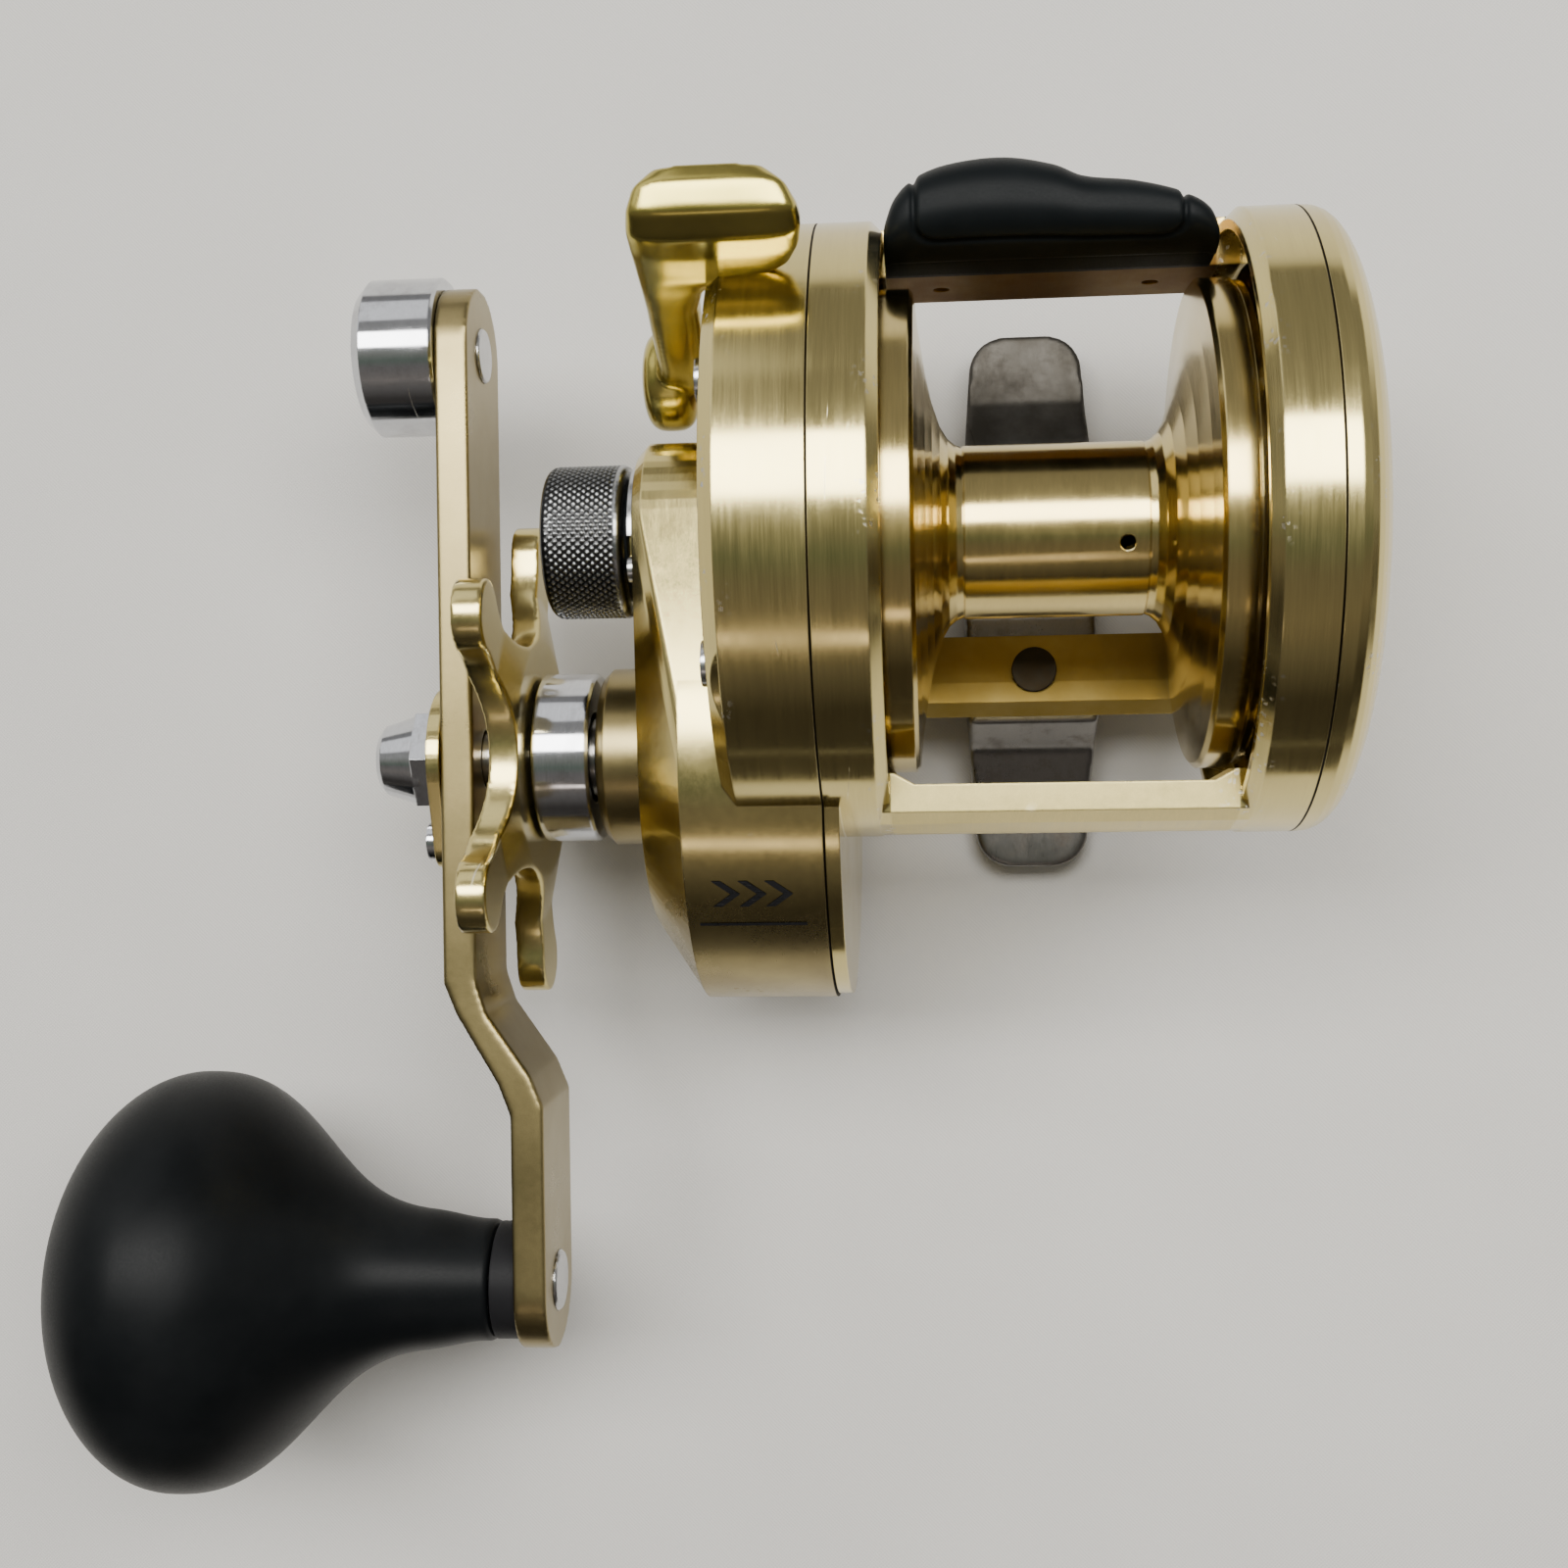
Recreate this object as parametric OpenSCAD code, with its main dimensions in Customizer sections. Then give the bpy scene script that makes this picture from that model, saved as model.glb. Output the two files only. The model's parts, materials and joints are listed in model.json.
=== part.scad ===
// Round baitcasting reel, built as an assembly of separate pieces.
// Origin: centre of the underside of the reel foot. +Z is up, away from the rod,
// +Y points back to the angler and -X is the handle side. Millimetres.

/* [Body] */
// Outer radius of the side plates and frame rings
plate_r = 28.5; // [28:0.5:30]
// Height of the spool axis above the underside of the foot
axis_h = 34; // [34:0.5:35]
// Distance of the spool axis behind the middle of the foot
axis_back = 3.5; // [2.5:0.5:4.5]
// Length of the foot
foot_l = 59; // [56:1:62]
// Width of the foot
foot_w = 14.2; // [13:0.2:15]
// Thickness of the foot at its two ends
foot_t = 1.8; // [1.4:0.1:2.4]

/* [Spool] */
// Radius of the spool flanges
flange_r = 22.5; // [21:0.5:23]
// Radius of the raised band in the middle of the spool
arbor_r = 8.1; // [7.5:0.1:9]

/* [Gears] */
// Tooth module of the gear pair
gear_m = 0.64; // [0.64:0.01:0.65]
// Teeth on the drive gear
gear_n = 62; // [62:1:62]
// Teeth on the pinion
pinion_n = 10; // [10:1:10]

/* [Handle] */
// Distance from the drive shaft to the knob
knob_reach = 53.2; // [45:0.2:60]
// Distance from the drive shaft to the counterweight
weight_reach = 41.2; // [36:0.2:44]
// Width of the handle arm
arm_w = 13.4; // [12.6:0.2:14]
// Thickness of the handle arm
arm_t = 3.3; // [2.8:0.1:3.4]
// Largest radius of the knob
knob_r = 21.1; // [16:0.1:22]
// Radius of the counterweight
weight_r = 7.9; // [7:0.1:9]

/* [Controls] */
// Radius from the shaft to the middle of a star arm's tip
star_r = 22; // [20:0.5:22]
// Radius of the cast control knob
cast_r = 7.3; // [7:0.1:7.6]

/* [Hidden] */
$fn = 96;

// The two main axes, both parallel to X
spool_y = axis_back;
spool_z = axis_h;
centre_d = gear_m * (gear_n + pinion_n) / 2;
shaft_angle = 207.7;
shaft_y = spool_y + centre_d * cos(shaft_angle);
shaft_z = spool_z + centre_d * sin(shaft_angle);
knob_y = shaft_y - knob_reach;
weight_y = shaft_y + weight_reach;

// Stations along X, from the handle side to the palm side
web_l = -20.3;
web_t = 1.4;
ring_l_edge = -14.5;
ring_r_edge = 16.3;
ring_r_end = 21.94;
ring_chamfer = 1;
ring_bore = 26.6;
spool_hole = 23.6;
disc_face = -29.2;
cover_face = -37.8;
cone_start = -33.05;
boss_end = -44.0;
star_in = -50.2;
arm_in = -56;
arm_out = arm_in - arm_t;
crank = 6.5;
low_in = arm_in + crank;
low_out = arm_out + crank;

// Radii that pieces share
gear_case_r = 24.3;
cone_r = 17.2;
case_floor = 0.2;
nose_r = 9.2;
shaft_r = 3;
spindle_r = 1.5;
bearing_r = 4;
collar_r = 8.9;
run = 0.05;

// Places of the clutch parts: the yoke and its posts, and the thumb lever
yoke_x = -23.1;
yoke_t = 1.2;
groove_r = 2.45;
post_y = 2.5;
post_z = 9.5;
pivot_y = spool_y + 15.8;
pivot_z = spool_z - 2.5;
lever_in = -33.2;
lever_out = -38.0;

gold = [0.80, 0.69, 0.42];
dull_gold = [0.66, 0.57, 0.33];
steel = [0.70, 0.71, 0.73];
dark = [0.09, 0.09, 0.10];

// A cylinder along X from x0 to x1
module rod_x(x0, x1, r, y = 0, z = 0) {
    translate([x0, y, z]) rotate([0, 90, 0]) cylinder(r = r, h = x1 - x0);
}

// A turned shape about an axis parallel to X; the outline is [x, radius] points
module turned(points, y, z) {
    translate([0, y, z])
        rotate([0, 90, 0])
            rotate_extrude()
                polygon([for (p = points) [p[1], p[0]]]);
}

// A washer or tube along X
module tube_x(x0, x1, r_out, r_in, y, z) {
    difference() {
        rod_x(x0, x1, r_out, y, z);
        rod_x(x0 - 1, x1 + 1, r_in, y, z);
    }
}

// An outline given as [y, z] about the spool axis, extruded along X
module section_x(x0, x1, points) {
    translate([x0, spool_y, spool_z])
        rotate([90, 0, 90])
            linear_extrude(x1 - x0) polygon(points);
}

// Gusset between the top of the front bar and a ring; dir is +1 when the bar runs to +X
module bar_gusset(x, dir) {
    low = 6;
    translate([x, spool_y, spool_z + low])
        linear_extrude(front_bar[0][1] - low)
            polygon([[-dir * 0.5, -24.3], [-dir * 0.5, -22.6], [dir * 0.4, -22.6], [dir * 2.4, -23.7],
                [dir * 2.4, -24.3]]);
}

// A slotted screw head and shank; dir is +1 when the head faces +X
module screw_x(x, y, z, r_head, t_head, r_shank, shank, dir) {
    difference() {
        union() {
            rod_x(dir > 0 ? x : x - t_head, dir > 0 ? x + t_head : x, r_head, y, z);
            rod_x(dir > 0 ? x - shank : x, dir > 0 ? x : x + shank, r_shank, y, z);
        }
        translate([x + dir * t_head, y, z]) cube([t_head, 3 * r_head, 0.5], center = true);
    }
}

// Places for fasteners, given as [y, z] about the spool axis
cover_screw_places = [[-13, 18], [11, 19.2], [20.5, -9.5], [3, -22.3]];
palm_screw_places = [for (a = [60, 180, 300]) [25.1 * cos(a), 25.1 * sin(a)]];
collar_screw_angles = [122, 242, 2];

// ---- Frame and foot ----

front_bar = [[-23.6, 10.6], [-26.1, 10.6], [-27.2, 8.4], [-28.1, 4.6], [-28.3, 2.4], [-25.6, 2],
    [-24.4, 4]];
rear_bar = [[23.9, 1.8], [23.9, -8], [26.8, -8], [28.2, -3], [28.3, 1.8]];
low_front_bar = [[-16.6, -22.8], [-15.1, -21.3], [-13, -21.8], [-8, -23.4], [-8, -27.2],
    [-12, -25.7]];
low_rear_bar = [[1.7, -24], [10.3, -24], [10.3, -26.4], [6, -27.7], [1.7, -28.2]];

module frame_ring(x0, x1, chamfer_at_end) {
    c = ring_chamfer;
    turned(chamfer_at_end
        ? [[x0, 0], [x0, plate_r], [x1 - c, plate_r], [x1, plate_r - c], [x1, 0]]
        : [[x0, 0], [x0, plate_r - c], [x0 + c, plate_r], [x1, plate_r], [x1, 0]],
        spool_y, spool_z);
}

module frame() {
    inner_l = web_l + web_t;
    web_r = 18.4;
    color(gold)
    difference() {
        union() {
            difference() {
                frame_ring(web_l, ring_l_edge, true);
                rod_x(inner_l, ring_l_edge + 1, ring_bore, spool_y, spool_z);
            }
            difference() {
                rod_x(web_l, inner_l, gear_case_r - 0.3, shaft_y, shaft_z);
                below(case_floor);
            }
            rod_x(web_l, inner_l + 1.6, 6.2, shaft_y, shaft_z);
            rod_x(web_l, inner_l + 1.6, 6.2, spool_y, spool_z);
            difference() {
                frame_ring(ring_r_edge, ring_r_end, false);
                rod_x(ring_r_edge - 1, web_r, ring_bore, spool_y, spool_z);
                rod_x(web_r - 1, web_r + 2, spool_hole, spool_y, spool_z);
                rod_x(web_r + 1.4, ring_r_end + 1, ring_bore, spool_y, spool_z);
            }
            section_x(inner_l - 0.4, web_r + 0.4, front_bar);
            bar_gusset(ring_l_edge, 1);
            bar_gusset(ring_r_edge, -1);
            section_x(inner_l - 0.4, web_r + 0.4, rear_bar);
            section_x(inner_l - 0.4, web_r + 0.4, low_front_bar);
            section_x(inner_l - 0.4, web_r + 0.4, low_rear_bar);
        }
        // Seats for the drive shaft's inner bearing and the pinion's nose
        rod_x(web_l - 1, inner_l + 0.6, 4, shaft_y, shaft_z);
        rod_x(web_l - 1, inner_l + 3, 4.3, spool_y, spool_z);
        // Holes for the cover screws, palm cover screws, rivets and thumb rest screws
        for (p = cover_screw_places)
            rod_x(web_l - 1, inner_l + 1, 1, spool_y + p[0], spool_z + p[1]);
        for (p = palm_screw_places)
            rod_x(web_r - 1, web_r + 2, 0.85, spool_y + p[0], spool_z + p[1]);
        for (i = [0, 1])
            translate([0, rivet_ys[i], 0]) {
                translate([0, 0, 3]) cylinder(r = 2, h = 14);
                translate([0, 0, rivet_tops[i]]) cylinder(r = 2.4, h = 3);
            }
        for (x = rest_screw_xs)
            translate([x, rest_screw_y, spool_z - 9]) cylinder(r = 1, h = 12);
        // Two dimples in the inner face of the rear bar
        for (x = rest_screw_xs)
            translate([x, spool_y + 23.4, spool_z - 3.4]) rotate([-90, 0, 0]) cylinder(r = 0.8, h = 1);
    }
}

rivet_ys = [spool_y - 11.7, spool_y + 5.7];
rivet_tops = [spool_z - 22.0, spool_z - 23.9];
rest_screw_xs = [-9.2, 10.6];
rest_screw_y = spool_y + 26.2;

// Side outline of the foot: thin tips, a ramp each way and a saddle for the frame
foot_side = [[-foot_l / 2, 0], [-foot_l / 2, foot_t], [-23, foot_t + 0.5], [-16.5, 5.6],
    [-13.6, 9.6], [-10, 9.6], [10, 7.6], [14, 7.6], [17.5, 4.2], [22, foot_t + 0.5],
    [foot_l / 2, foot_t], [foot_l / 2, 0]];

module foot_plan() {
    tip = foot_w / 2 - 0.9;
    hull() {
        translate([0, 1]) square([foot_w, 24], center = true);
        for (end = [-1, 1], side = [-1, 1])
            translate([side * (tip - 4), end * (foot_l / 2 - 4)]) circle(r = 4);
    }
}

module reel_foot() {
    color([0.55, 0.55, 0.54])
    difference() {
        intersection() {
            translate([-foot_w / 2 - 1, 0, 0])
                rotate([90, 0, 90])
                    linear_extrude(foot_w + 2) polygon(foot_side);
            translate([0, 0, -1]) linear_extrude(14) foot_plan();
        }
        rod_x(-foot_w, foot_w, plate_r + 0.02, spool_y, spool_z);
        for (y = rivet_ys)
            translate([0, y, -1]) cylinder(r = 2.0, h = 14);
        for (y = rivet_ys)
            translate([0, y, -1]) cylinder(r = 3.1, h = 1.8);
    }
}

// Two rivets hold the foot to the lower bars; their heads sit below flush
module foot_rivets() {
    color([0.35, 0.33, 0.29])
    for (i = [0, 1])
        translate([0, rivet_ys[i], 0]) {
            translate([0, 0, 0.3]) cylinder(r = 3, h = 0.5);
            translate([0, 0, 0.3]) cylinder(r = 1.95, h = rivet_tops[i] - 0.3);
            translate([0, 0, rivet_tops[i]]) cylinder(r = 2.35, h = 0.7);
        }
}

// ---- Handle side cover ----

// The raised part: a small nose round the spool axis blended into the gear case
module raised_cover(shrink, face) {
    hull() {
        rod_x(face + 1, disc_face + 2, nose_r - shrink, spool_y, spool_z, $fn = 64);
        rod_x(face, disc_face + 2, nose_r - shrink - 1.1, spool_y, spool_z, $fn = 64);
        rod_x(cone_start + shrink / 2, disc_face + 2, gear_case_r - shrink,
            shaft_y, shaft_z, $fn = 96);
        rod_x(face, disc_face + 2, cone_r - shrink * 0.8, shaft_y, shaft_z, $fn = 96);
    }
}

// Everything lower than z
module below(z) {
    translate([-60, -60, z - 20]) cube([60, 120, 20]);
}

module gear_side_cover() {
    wall = 1.7;
    c = 1.4;
    scoop_r = 8;
    scoop_a = 33;
    color(gold)
    difference() {
        union() {
            difference() {
                union() {
                    turned([[web_l - 0.05, 0], [web_l - 0.05, plate_r], [disc_face + 1.3, plate_r],
                        [disc_face, plate_r - c], [disc_face, 0]], spool_y, spool_z);
                    raised_cover(0, cover_face);
                    rod_x(cone_start, web_l - 0.05, gear_case_r, shaft_y, shaft_z);
                }
                difference() {
                    union() {
                        rod_x(disc_face + wall, web_l + 1, ring_bore, spool_y, spool_z);
                        rod_x(cone_start + 1, web_l + 1, gear_case_r - wall, shaft_y, shaft_z);
                        raised_cover(wall, cover_face + wall);
                    }
                    below(case_floor + wall - 0.2);
                }
                below(case_floor);
                // Finger scoop in the rim beside the front screw
                rod_x(disc_face - 1, disc_face + 1.2, scoop_r,
                    spool_y - (plate_r + scoop_r - 1) * sin(scoop_a),
                    spool_z + (plate_r + scoop_r - 1) * cos(scoop_a));
            }
            // Posts for the cover screws
            for (p = cover_screw_places)
                rod_x(disc_face + 1, web_l - 0.05, 2.3, spool_y + p[0], spool_z + p[1]);
            // Boss of the cast control knob with the spool bearing inside it
            rod_x(boss_end, cover_face + 2, 5.3, spool_y, spool_z);
            // Seat of the shaft bearing, seat of the lever bushing
            rod_x(cover_face + 0.5, cover_face + 3.6, collar_r - 0.2, shaft_y, shaft_z);
            rod_x(disc_face - 1.8, disc_face + 2, 3.6, pivot_y, pivot_z);
        }
        rod_x(boss_end - 1, cover_face + 3, bearing_r + 0.02, spool_y, spool_z);
        rod_x(cover_face - 1, cover_face + 4, 7.02, shaft_y, shaft_z);
        rod_x(disc_face - 3, disc_face + 3, 2.42, pivot_y, pivot_z);
        for (p = cover_screw_places) {
            rod_x(disc_face - 3, web_l + 1, 1, spool_y + p[0], spool_z + p[1]);
            rod_x(disc_face - 9, disc_face + 0.4, 2.4, spool_y + p[0], spool_z + p[1]);
        }
        for (a = collar_screw_angles)
            rod_x(cover_face - 1, cover_face + 1.5, 0.8,
                shaft_y + 10.8 * cos(a), shaft_z + 10.8 * sin(a));
        rod_x(cover_face - 1, cover_face + 1.2, 0.8, spool_y - 3.3, spool_z + 5.9);
    }
}

module cover_screws() {
    color(steel)
    for (p = cover_screw_places)
        screw_x(disc_face + 0.4, spool_y + p[0], spool_z + p[1], 2, 1.3, 0.97, 9.4, -1);
}

module bearing_collar() {
    end = cover_face - 5.7;
    color(dull_gold)
    difference() {
        turned([[end, 0], [end, collar_r - 0.9], [end + 0.9, collar_r],
            [cover_face - 0.02, collar_r], [cover_face - 0.02, 7], [cover_face + 0.6, 7],
            [cover_face + 0.6, 0]], shaft_y, shaft_z);
        rod_x(end + 1.2, cover_face + 1, 6.3, shaft_y, shaft_z);
        rod_x(end - 1, cover_face + 1, 4.6, shaft_y, shaft_z);
    }
}

module collar_screws() {
    color(steel)
    for (a = collar_screw_angles)
        screw_x(cover_face, shaft_y + 10.8 * cos(a), shaft_z + 10.8 * sin(a),
            1.35, 0.8, 0.77, 1.4, -1);
}

// One-way roller bearing that stops the handle from turning backwards
module anti_reverse_bearing() {
    x0 = cover_face - 4.4;
    w = 5;
    color(steel) {
        tube_x(x0, x0 + w, 6.28, 5.42, shaft_y, shaft_z);
        for (a = [0:45:315])
            rod_x(x0 + 0.6, x0 + w - 0.6, 0.6, shaft_y + 4.76 * cos(a), shaft_z + 4.76 * sin(a));
        tube_x(x0, x0 + 0.5, 5.5, 4.15, shaft_y, shaft_z);
        tube_x(x0 + w - 0.5, x0 + w, 5.5, 4.15, shaft_y, shaft_z);
    }
}

// A ball bearing seen as two races, a ring of balls and two shields
module ball_bearing(x0, w, r_out, r_in, y, z) {
    mid = (r_out + r_in) / 2;
    gap = (r_out - r_in) * 0.16;
    tube_x(x0, x0 + w, r_out, mid + gap, y, z);
    tube_x(x0, x0 + w, mid - gap, r_in, y, z);
    tube_x(x0 + w * 0.3, x0 + w * 0.7, mid + gap + 0.05, mid - gap - 0.05, y, z);
}

module shaft_outer_bearing() {
    color(steel)
    ball_bearing(cover_face + 0.9, 2.5, 7, 4.1, shaft_y, shaft_z);
}

// Plain bush that the pinion's nose turns in
module pinion_bush() {
    color([0.72, 0.55, 0.30])
    tube_x(web_l + 0.1, web_l + 2.9, 4.28, 3.65, spool_y, spool_z);
}

module shaft_inner_bearing() {
    color(steel)
    ball_bearing(web_l + 0.02, 1.9, 3.98, 2.05, shaft_y, shaft_z);
}

module cast_click_ring() {
    color(steel)
    difference() {
        tube_x(cover_face - 0.6, cover_face - 0.05, 7.1, 5.4, spool_y, spool_z);
        translate([cover_face - 2, spool_y - 8.4, spool_z]) cube([4, 8, 9]);
    }
}

module cast_click_pin() {
    color(steel) {
        rod_x(cover_face - 0.6, cover_face, 1.25, spool_y - 3.3, spool_z + 5.9);
        rod_x(cover_face - 0.1, cover_face + 1.1, 0.78, spool_y - 3.3, spool_z + 5.9);
    }
}

module spool_bearing_left() {
    color(steel)
    ball_bearing(cover_face - 5, 3, bearing_r, spindle_r + run, spool_y, spool_z);
}

module tension_shim_left() {
    color([0.72, 0.55, 0.30])
    rod_x(boss_end - 1.35, boss_end - 0.75, 3.6, spool_y, spool_z);
}

module lever_bushing() {
    color([0.72, 0.55, 0.30])
    difference() {
        union() {
            rod_x(disc_face - 2.6, disc_face - 1.82, 3.4, pivot_y, pivot_z);
            rod_x(disc_face - 2.6, disc_face + 2, 2.4, pivot_y, pivot_z);
        }
        rod_x(disc_face - 4, disc_face + 3, 1.55, pivot_y, pivot_z);
    }
}

module yoke_posts() {
    color(steel)
    for (s = [-1, 1])
        rod_x(-27.4, web_l - 0.02, 0.9, spool_y + post_y, spool_z + s * post_z);
}

module yoke_springs() {
    turns = 4;
    color(steel)
    for (s = [-1, 1], i = [0:turns - 1])
        tube_x(-27.35 + i * 1.2, -26.85 + i * 1.2, 1.75, 1.05,
            spool_y + post_y, spool_z + s * post_z);
}

// ---- Palm side cover ----

dome_n = 3;
dome_h = 6.05;
function dome(r_base, h, x0) =
    [for (i = [0:16]) let (t = i * 90 / 16)
        [x0 + h * pow(sin(t), 2 / dome_n), r_base * pow(cos(t), 2 / dome_n)]];

module palm_cover() {
    x0 = ring_r_end + 0.05;
    color(gold)
    difference() {
        union() {
            difference() {
                turned(concat([[x0, 0]], dome(plate_r, dome_h, x0)), spool_y, spool_z);
                turned(concat([[x0 - 1, 0], [x0 - 1, plate_r - 1.9]],
                    dome(plate_r - 1.9, dome_h - 1.8, x0)), spool_y, spool_z);
            }
            tube_x(ring_r_end - 2, x0 + 0.4, ring_bore - run, ring_bore - 1.8, spool_y, spool_z);
            rod_x(ring_r_end - 3.5, x0 + dome_h - 1, 5.4, spool_y, spool_z);
            for (p = palm_screw_places)
                rod_x(ring_r_end - 2, x0 + 3, 1.4, spool_y + p[0], spool_z + p[1]);
        }
        rod_x(ring_r_end - 4, ring_r_end + 0.4, bearing_r + 0.02, spool_y, spool_z);
        for (p = palm_screw_places)
            rod_x(ring_r_end - 3, x0 + 2.5, 0.8, spool_y + p[0], spool_z + p[1]);
    }
}

module palm_cover_screws() {
    color(steel)
    for (p = palm_screw_places)
        screw_x(18.38, spool_y + p[0], spool_z + p[1], 1.35, 0.8, 0.78, 5.4, -1);
}

module spool_bearing_right() {
    color(steel)
    ball_bearing(18.7, 3, bearing_r, spindle_r + run, spool_y, spool_z);
}

module tension_shim_right() {
    color([0.72, 0.55, 0.30])
    rod_x(21.75, 22.3, 3.8, spool_y, spool_z);
}

module brake_drum() {
    color(steel)
    difference() {
        rod_x(14.3, 19.2, 12.4, spool_y, spool_z);
        rod_x(12, 18.4, 11.6, spool_y, spool_z);
        rod_x(12, 21, 5.42, spool_y, spool_z);
    }
}

// ---- Thumb rest ----

rest_x0 = -14.35;
rest_x1 = 15.4;
rest_w = rest_x1 - rest_x0;
// How far the top stands back from the spool axis, across the width from the handle side
function hump(u) = 28.6 + 4.4 * exp(-pow((u - 0.36) / 0.2, 2)) + 2.9 * exp(-pow((u - 0.8) / 0.2, 2));

module rest_layer(inset, z0, z1, back) {
    steps = 24;
    translate([0, spool_y, spool_z + z0])
        linear_extrude(z1 - z0)
            polygon(concat(
                [[rest_x1 - inset, 24.4 + inset], [rest_x0 + inset, 24.4 + inset]],
                [for (i = [0:steps]) let (u = i / steps)
                    [rest_x0 + inset + u * (rest_w - 2 * inset),
                        min(hump(u) + back, 26 + 9.5 * pow(sin(180 * min(max(u, 0.03), 0.97)), 0.42))]]));
}

module thumb_rest() {
    color(dark)
    difference() {
        hull() {
            rest_layer(0, 1.9, 8, 0);
            rest_layer(0.6, 1.9, 10, -1.2);
            rest_layer(2, 1.9, 12, -3.4);
        }
        for (x = rest_screw_xs)
            translate([x, rest_screw_y, spool_z - 6]) cylinder(r = 0.8, h = 13);
    }
}

module thumb_rest_pad() {
    color([0.12, 0.12, 0.13])
    hull() {
        rest_layer(3.2, 12.05, 12.6, -4.4);
        rest_layer(4.2, 12.05, 13.2, -5.6);
    }
}

// The rest is held from below through the rear bar
module thumb_rest_screws() {
    color(steel)
    for (x = rest_screw_xs)
        translate([x, rest_screw_y, spool_z]) {
            translate([0, 0, -9.1]) cylinder(r = 1.5, h = 1);
            translate([0, 0, -8.4]) cylinder(r = 0.78, h = 14);
        }
}

// ---- Drive train ----

// Involute tooth outline: pitch radius, base radius, profile shift and backlash
tooth_shift = 0.4;
backlash = 0.07;
press = 20;
function inv(a) = tan(a) * 180 / PI - a;
function half_tooth(r, n, shift) =
    let (rp = gear_m * n / 2, rb = rp * cos(press), rr = max(r, rb + 0.001),
        s = gear_m * (PI / 2 + 2 * shift * tan(press)) - backlash)
    s / (2 * rp) * 180 / PI + inv(press) - inv(acos(rb / rr));
function tooth(n, shift, root, tip, at) =
    let (rb = gear_m * n / 2 * cos(press), low = max(root, rb + 0.02), k = 4,
        up = [for (i = [0:k]) low + (tip - low) * i / k],
        base = half_tooth(low, n, shift))
    concat(
        [[root, at - base - 0.3]],
        [for (r = up) [r, at - half_tooth(r, n, shift)]],
        [for (i = [k:-1:0]) [up[i], at + half_tooth(up[i], n, shift)]],
        [[root, at + base + 0.3]]);

module spur(n, shift, phase, width) {
    root = gear_m * (n / 2 - 1.25 + shift);
    tip = gear_m * (n / 2 + 1 + shift) - (shift > 0 ? 0.1 : 0);
    linear_extrude(width)
        polygon([for (i = [0:n - 1]) for (p = tooth(n, shift, root, tip, phase + i * 360 / n))
            [p[0] * cos(p[1]), p[0] * sin(p[1])]]);
}

// Puts a gear drawn in XY on an axis parallel to X, its angles measured from +Y towards +Z
module on_axis(x, y, z) {
    translate([x, y, z]) rotate([90, 0, 90]) children();
}

gear_x = -27.6;
gear_w = 3;

module drive_gear() {
    to_pinion = shaft_angle - 180;
    color([0.78, 0.62, 0.34])
    difference() {
        on_axis(gear_x, shaft_y, shaft_z)
            spur(gear_n, -tooth_shift, to_pinion, gear_w);
        rod_x(gear_x + 1, gear_x + 6, 15.8, shaft_y, shaft_z);
        rod_x(gear_x - 1, gear_x + 6, shaft_r + run, shaft_y, shaft_z);
        for (a = [0:60:300])
            rod_x(gear_x - 1, gear_x + 6, 2.6, shaft_y + 10.8 * cos(a), shaft_z + 10.8 * sin(a));
    }
}

module pinion_gear() {
    color([0.78, 0.62, 0.34])
    difference() {
        union() {
            on_axis(-30.5, spool_y, spool_z)
                spur(pinion_n, tooth_shift, shaft_angle + 180 / pinion_n, 7.1);
            rod_x(-23.4, -21.6, groove_r, spool_y, spool_z);
            rod_x(-21.6, -18.4, 3.6, spool_y, spool_z);
            rod_x(-33.4, -30.5, 2.6, spool_y, spool_z);
        }
        rod_x(-35, -17, spindle_r + run, spool_y, spool_z);
        // Slot that takes the spool's clutch pin
        translate([-18.9, spool_y, spool_z]) cube([2.2, 8, 1.3], center = true);
    }
}

module drive_shaft() {
    color(steel)
    difference() {
        union() {
            turned([[web_l + 1.8, 0], [web_l + 1.8, 2], [web_l - 1.5, 2], [web_l - 1.5, 4.2],
                [web_l - 2.3, 4.2], [web_l - 2.3, shaft_r], [-62.9, shaft_r],
                [-63.3, shaft_r - 0.4], [-63.3, 0]], shaft_y, shaft_z);
        }
        for (s = [-1, 1])
            translate([-60, shaft_y + s * 3.6, shaft_z]) cube([9, 2, 7], center = true);
    }
}

module drag_washers() {
    color([0.16, 0.15, 0.14]) {
        tube_x(gear_x + 1.05, gear_x + 1.55, 15, shaft_r + run, shaft_y, shaft_z);
        tube_x(gear_x - 0.65, gear_x - 0.05, 14.5, shaft_r + run, shaft_y, shaft_z);
    }
}

module pressure_plate() {
    color(steel)
    difference() {
        tube_x(gear_x - 1.9, gear_x - 0.7, 14.5, shaft_r + run, shaft_y, shaft_z);
        for (s = [-1, 1])
            translate([gear_x - 2, shaft_y + s * 15.2, shaft_z]) cube([3, 3, 4], center = true);
    }
}

// Toothed wheel that kicks the clutch back into gear
module ratchet_wheel() {
    n = 12;
    color(steel)
    difference() {
        on_axis(-24, shaft_y, shaft_z)
            linear_extrude(0.9)
                polygon([for (i = [0:n - 1]) for (p = [[8.6, 0], [10.4, 20]])
                    [p[0] * cos(p[1] + i * 360 / n), p[0] * sin(p[1] + i * 360 / n)]]);
        rod_x(-25, -22, shaft_r + run, shaft_y, shaft_z);
    }
}

module roller_sleeve() {
    color(steel)
    tube_x(cover_face - 6.35, gear_x - 2, 4.05, shaft_r + run, shaft_y, shaft_z);
}

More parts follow.
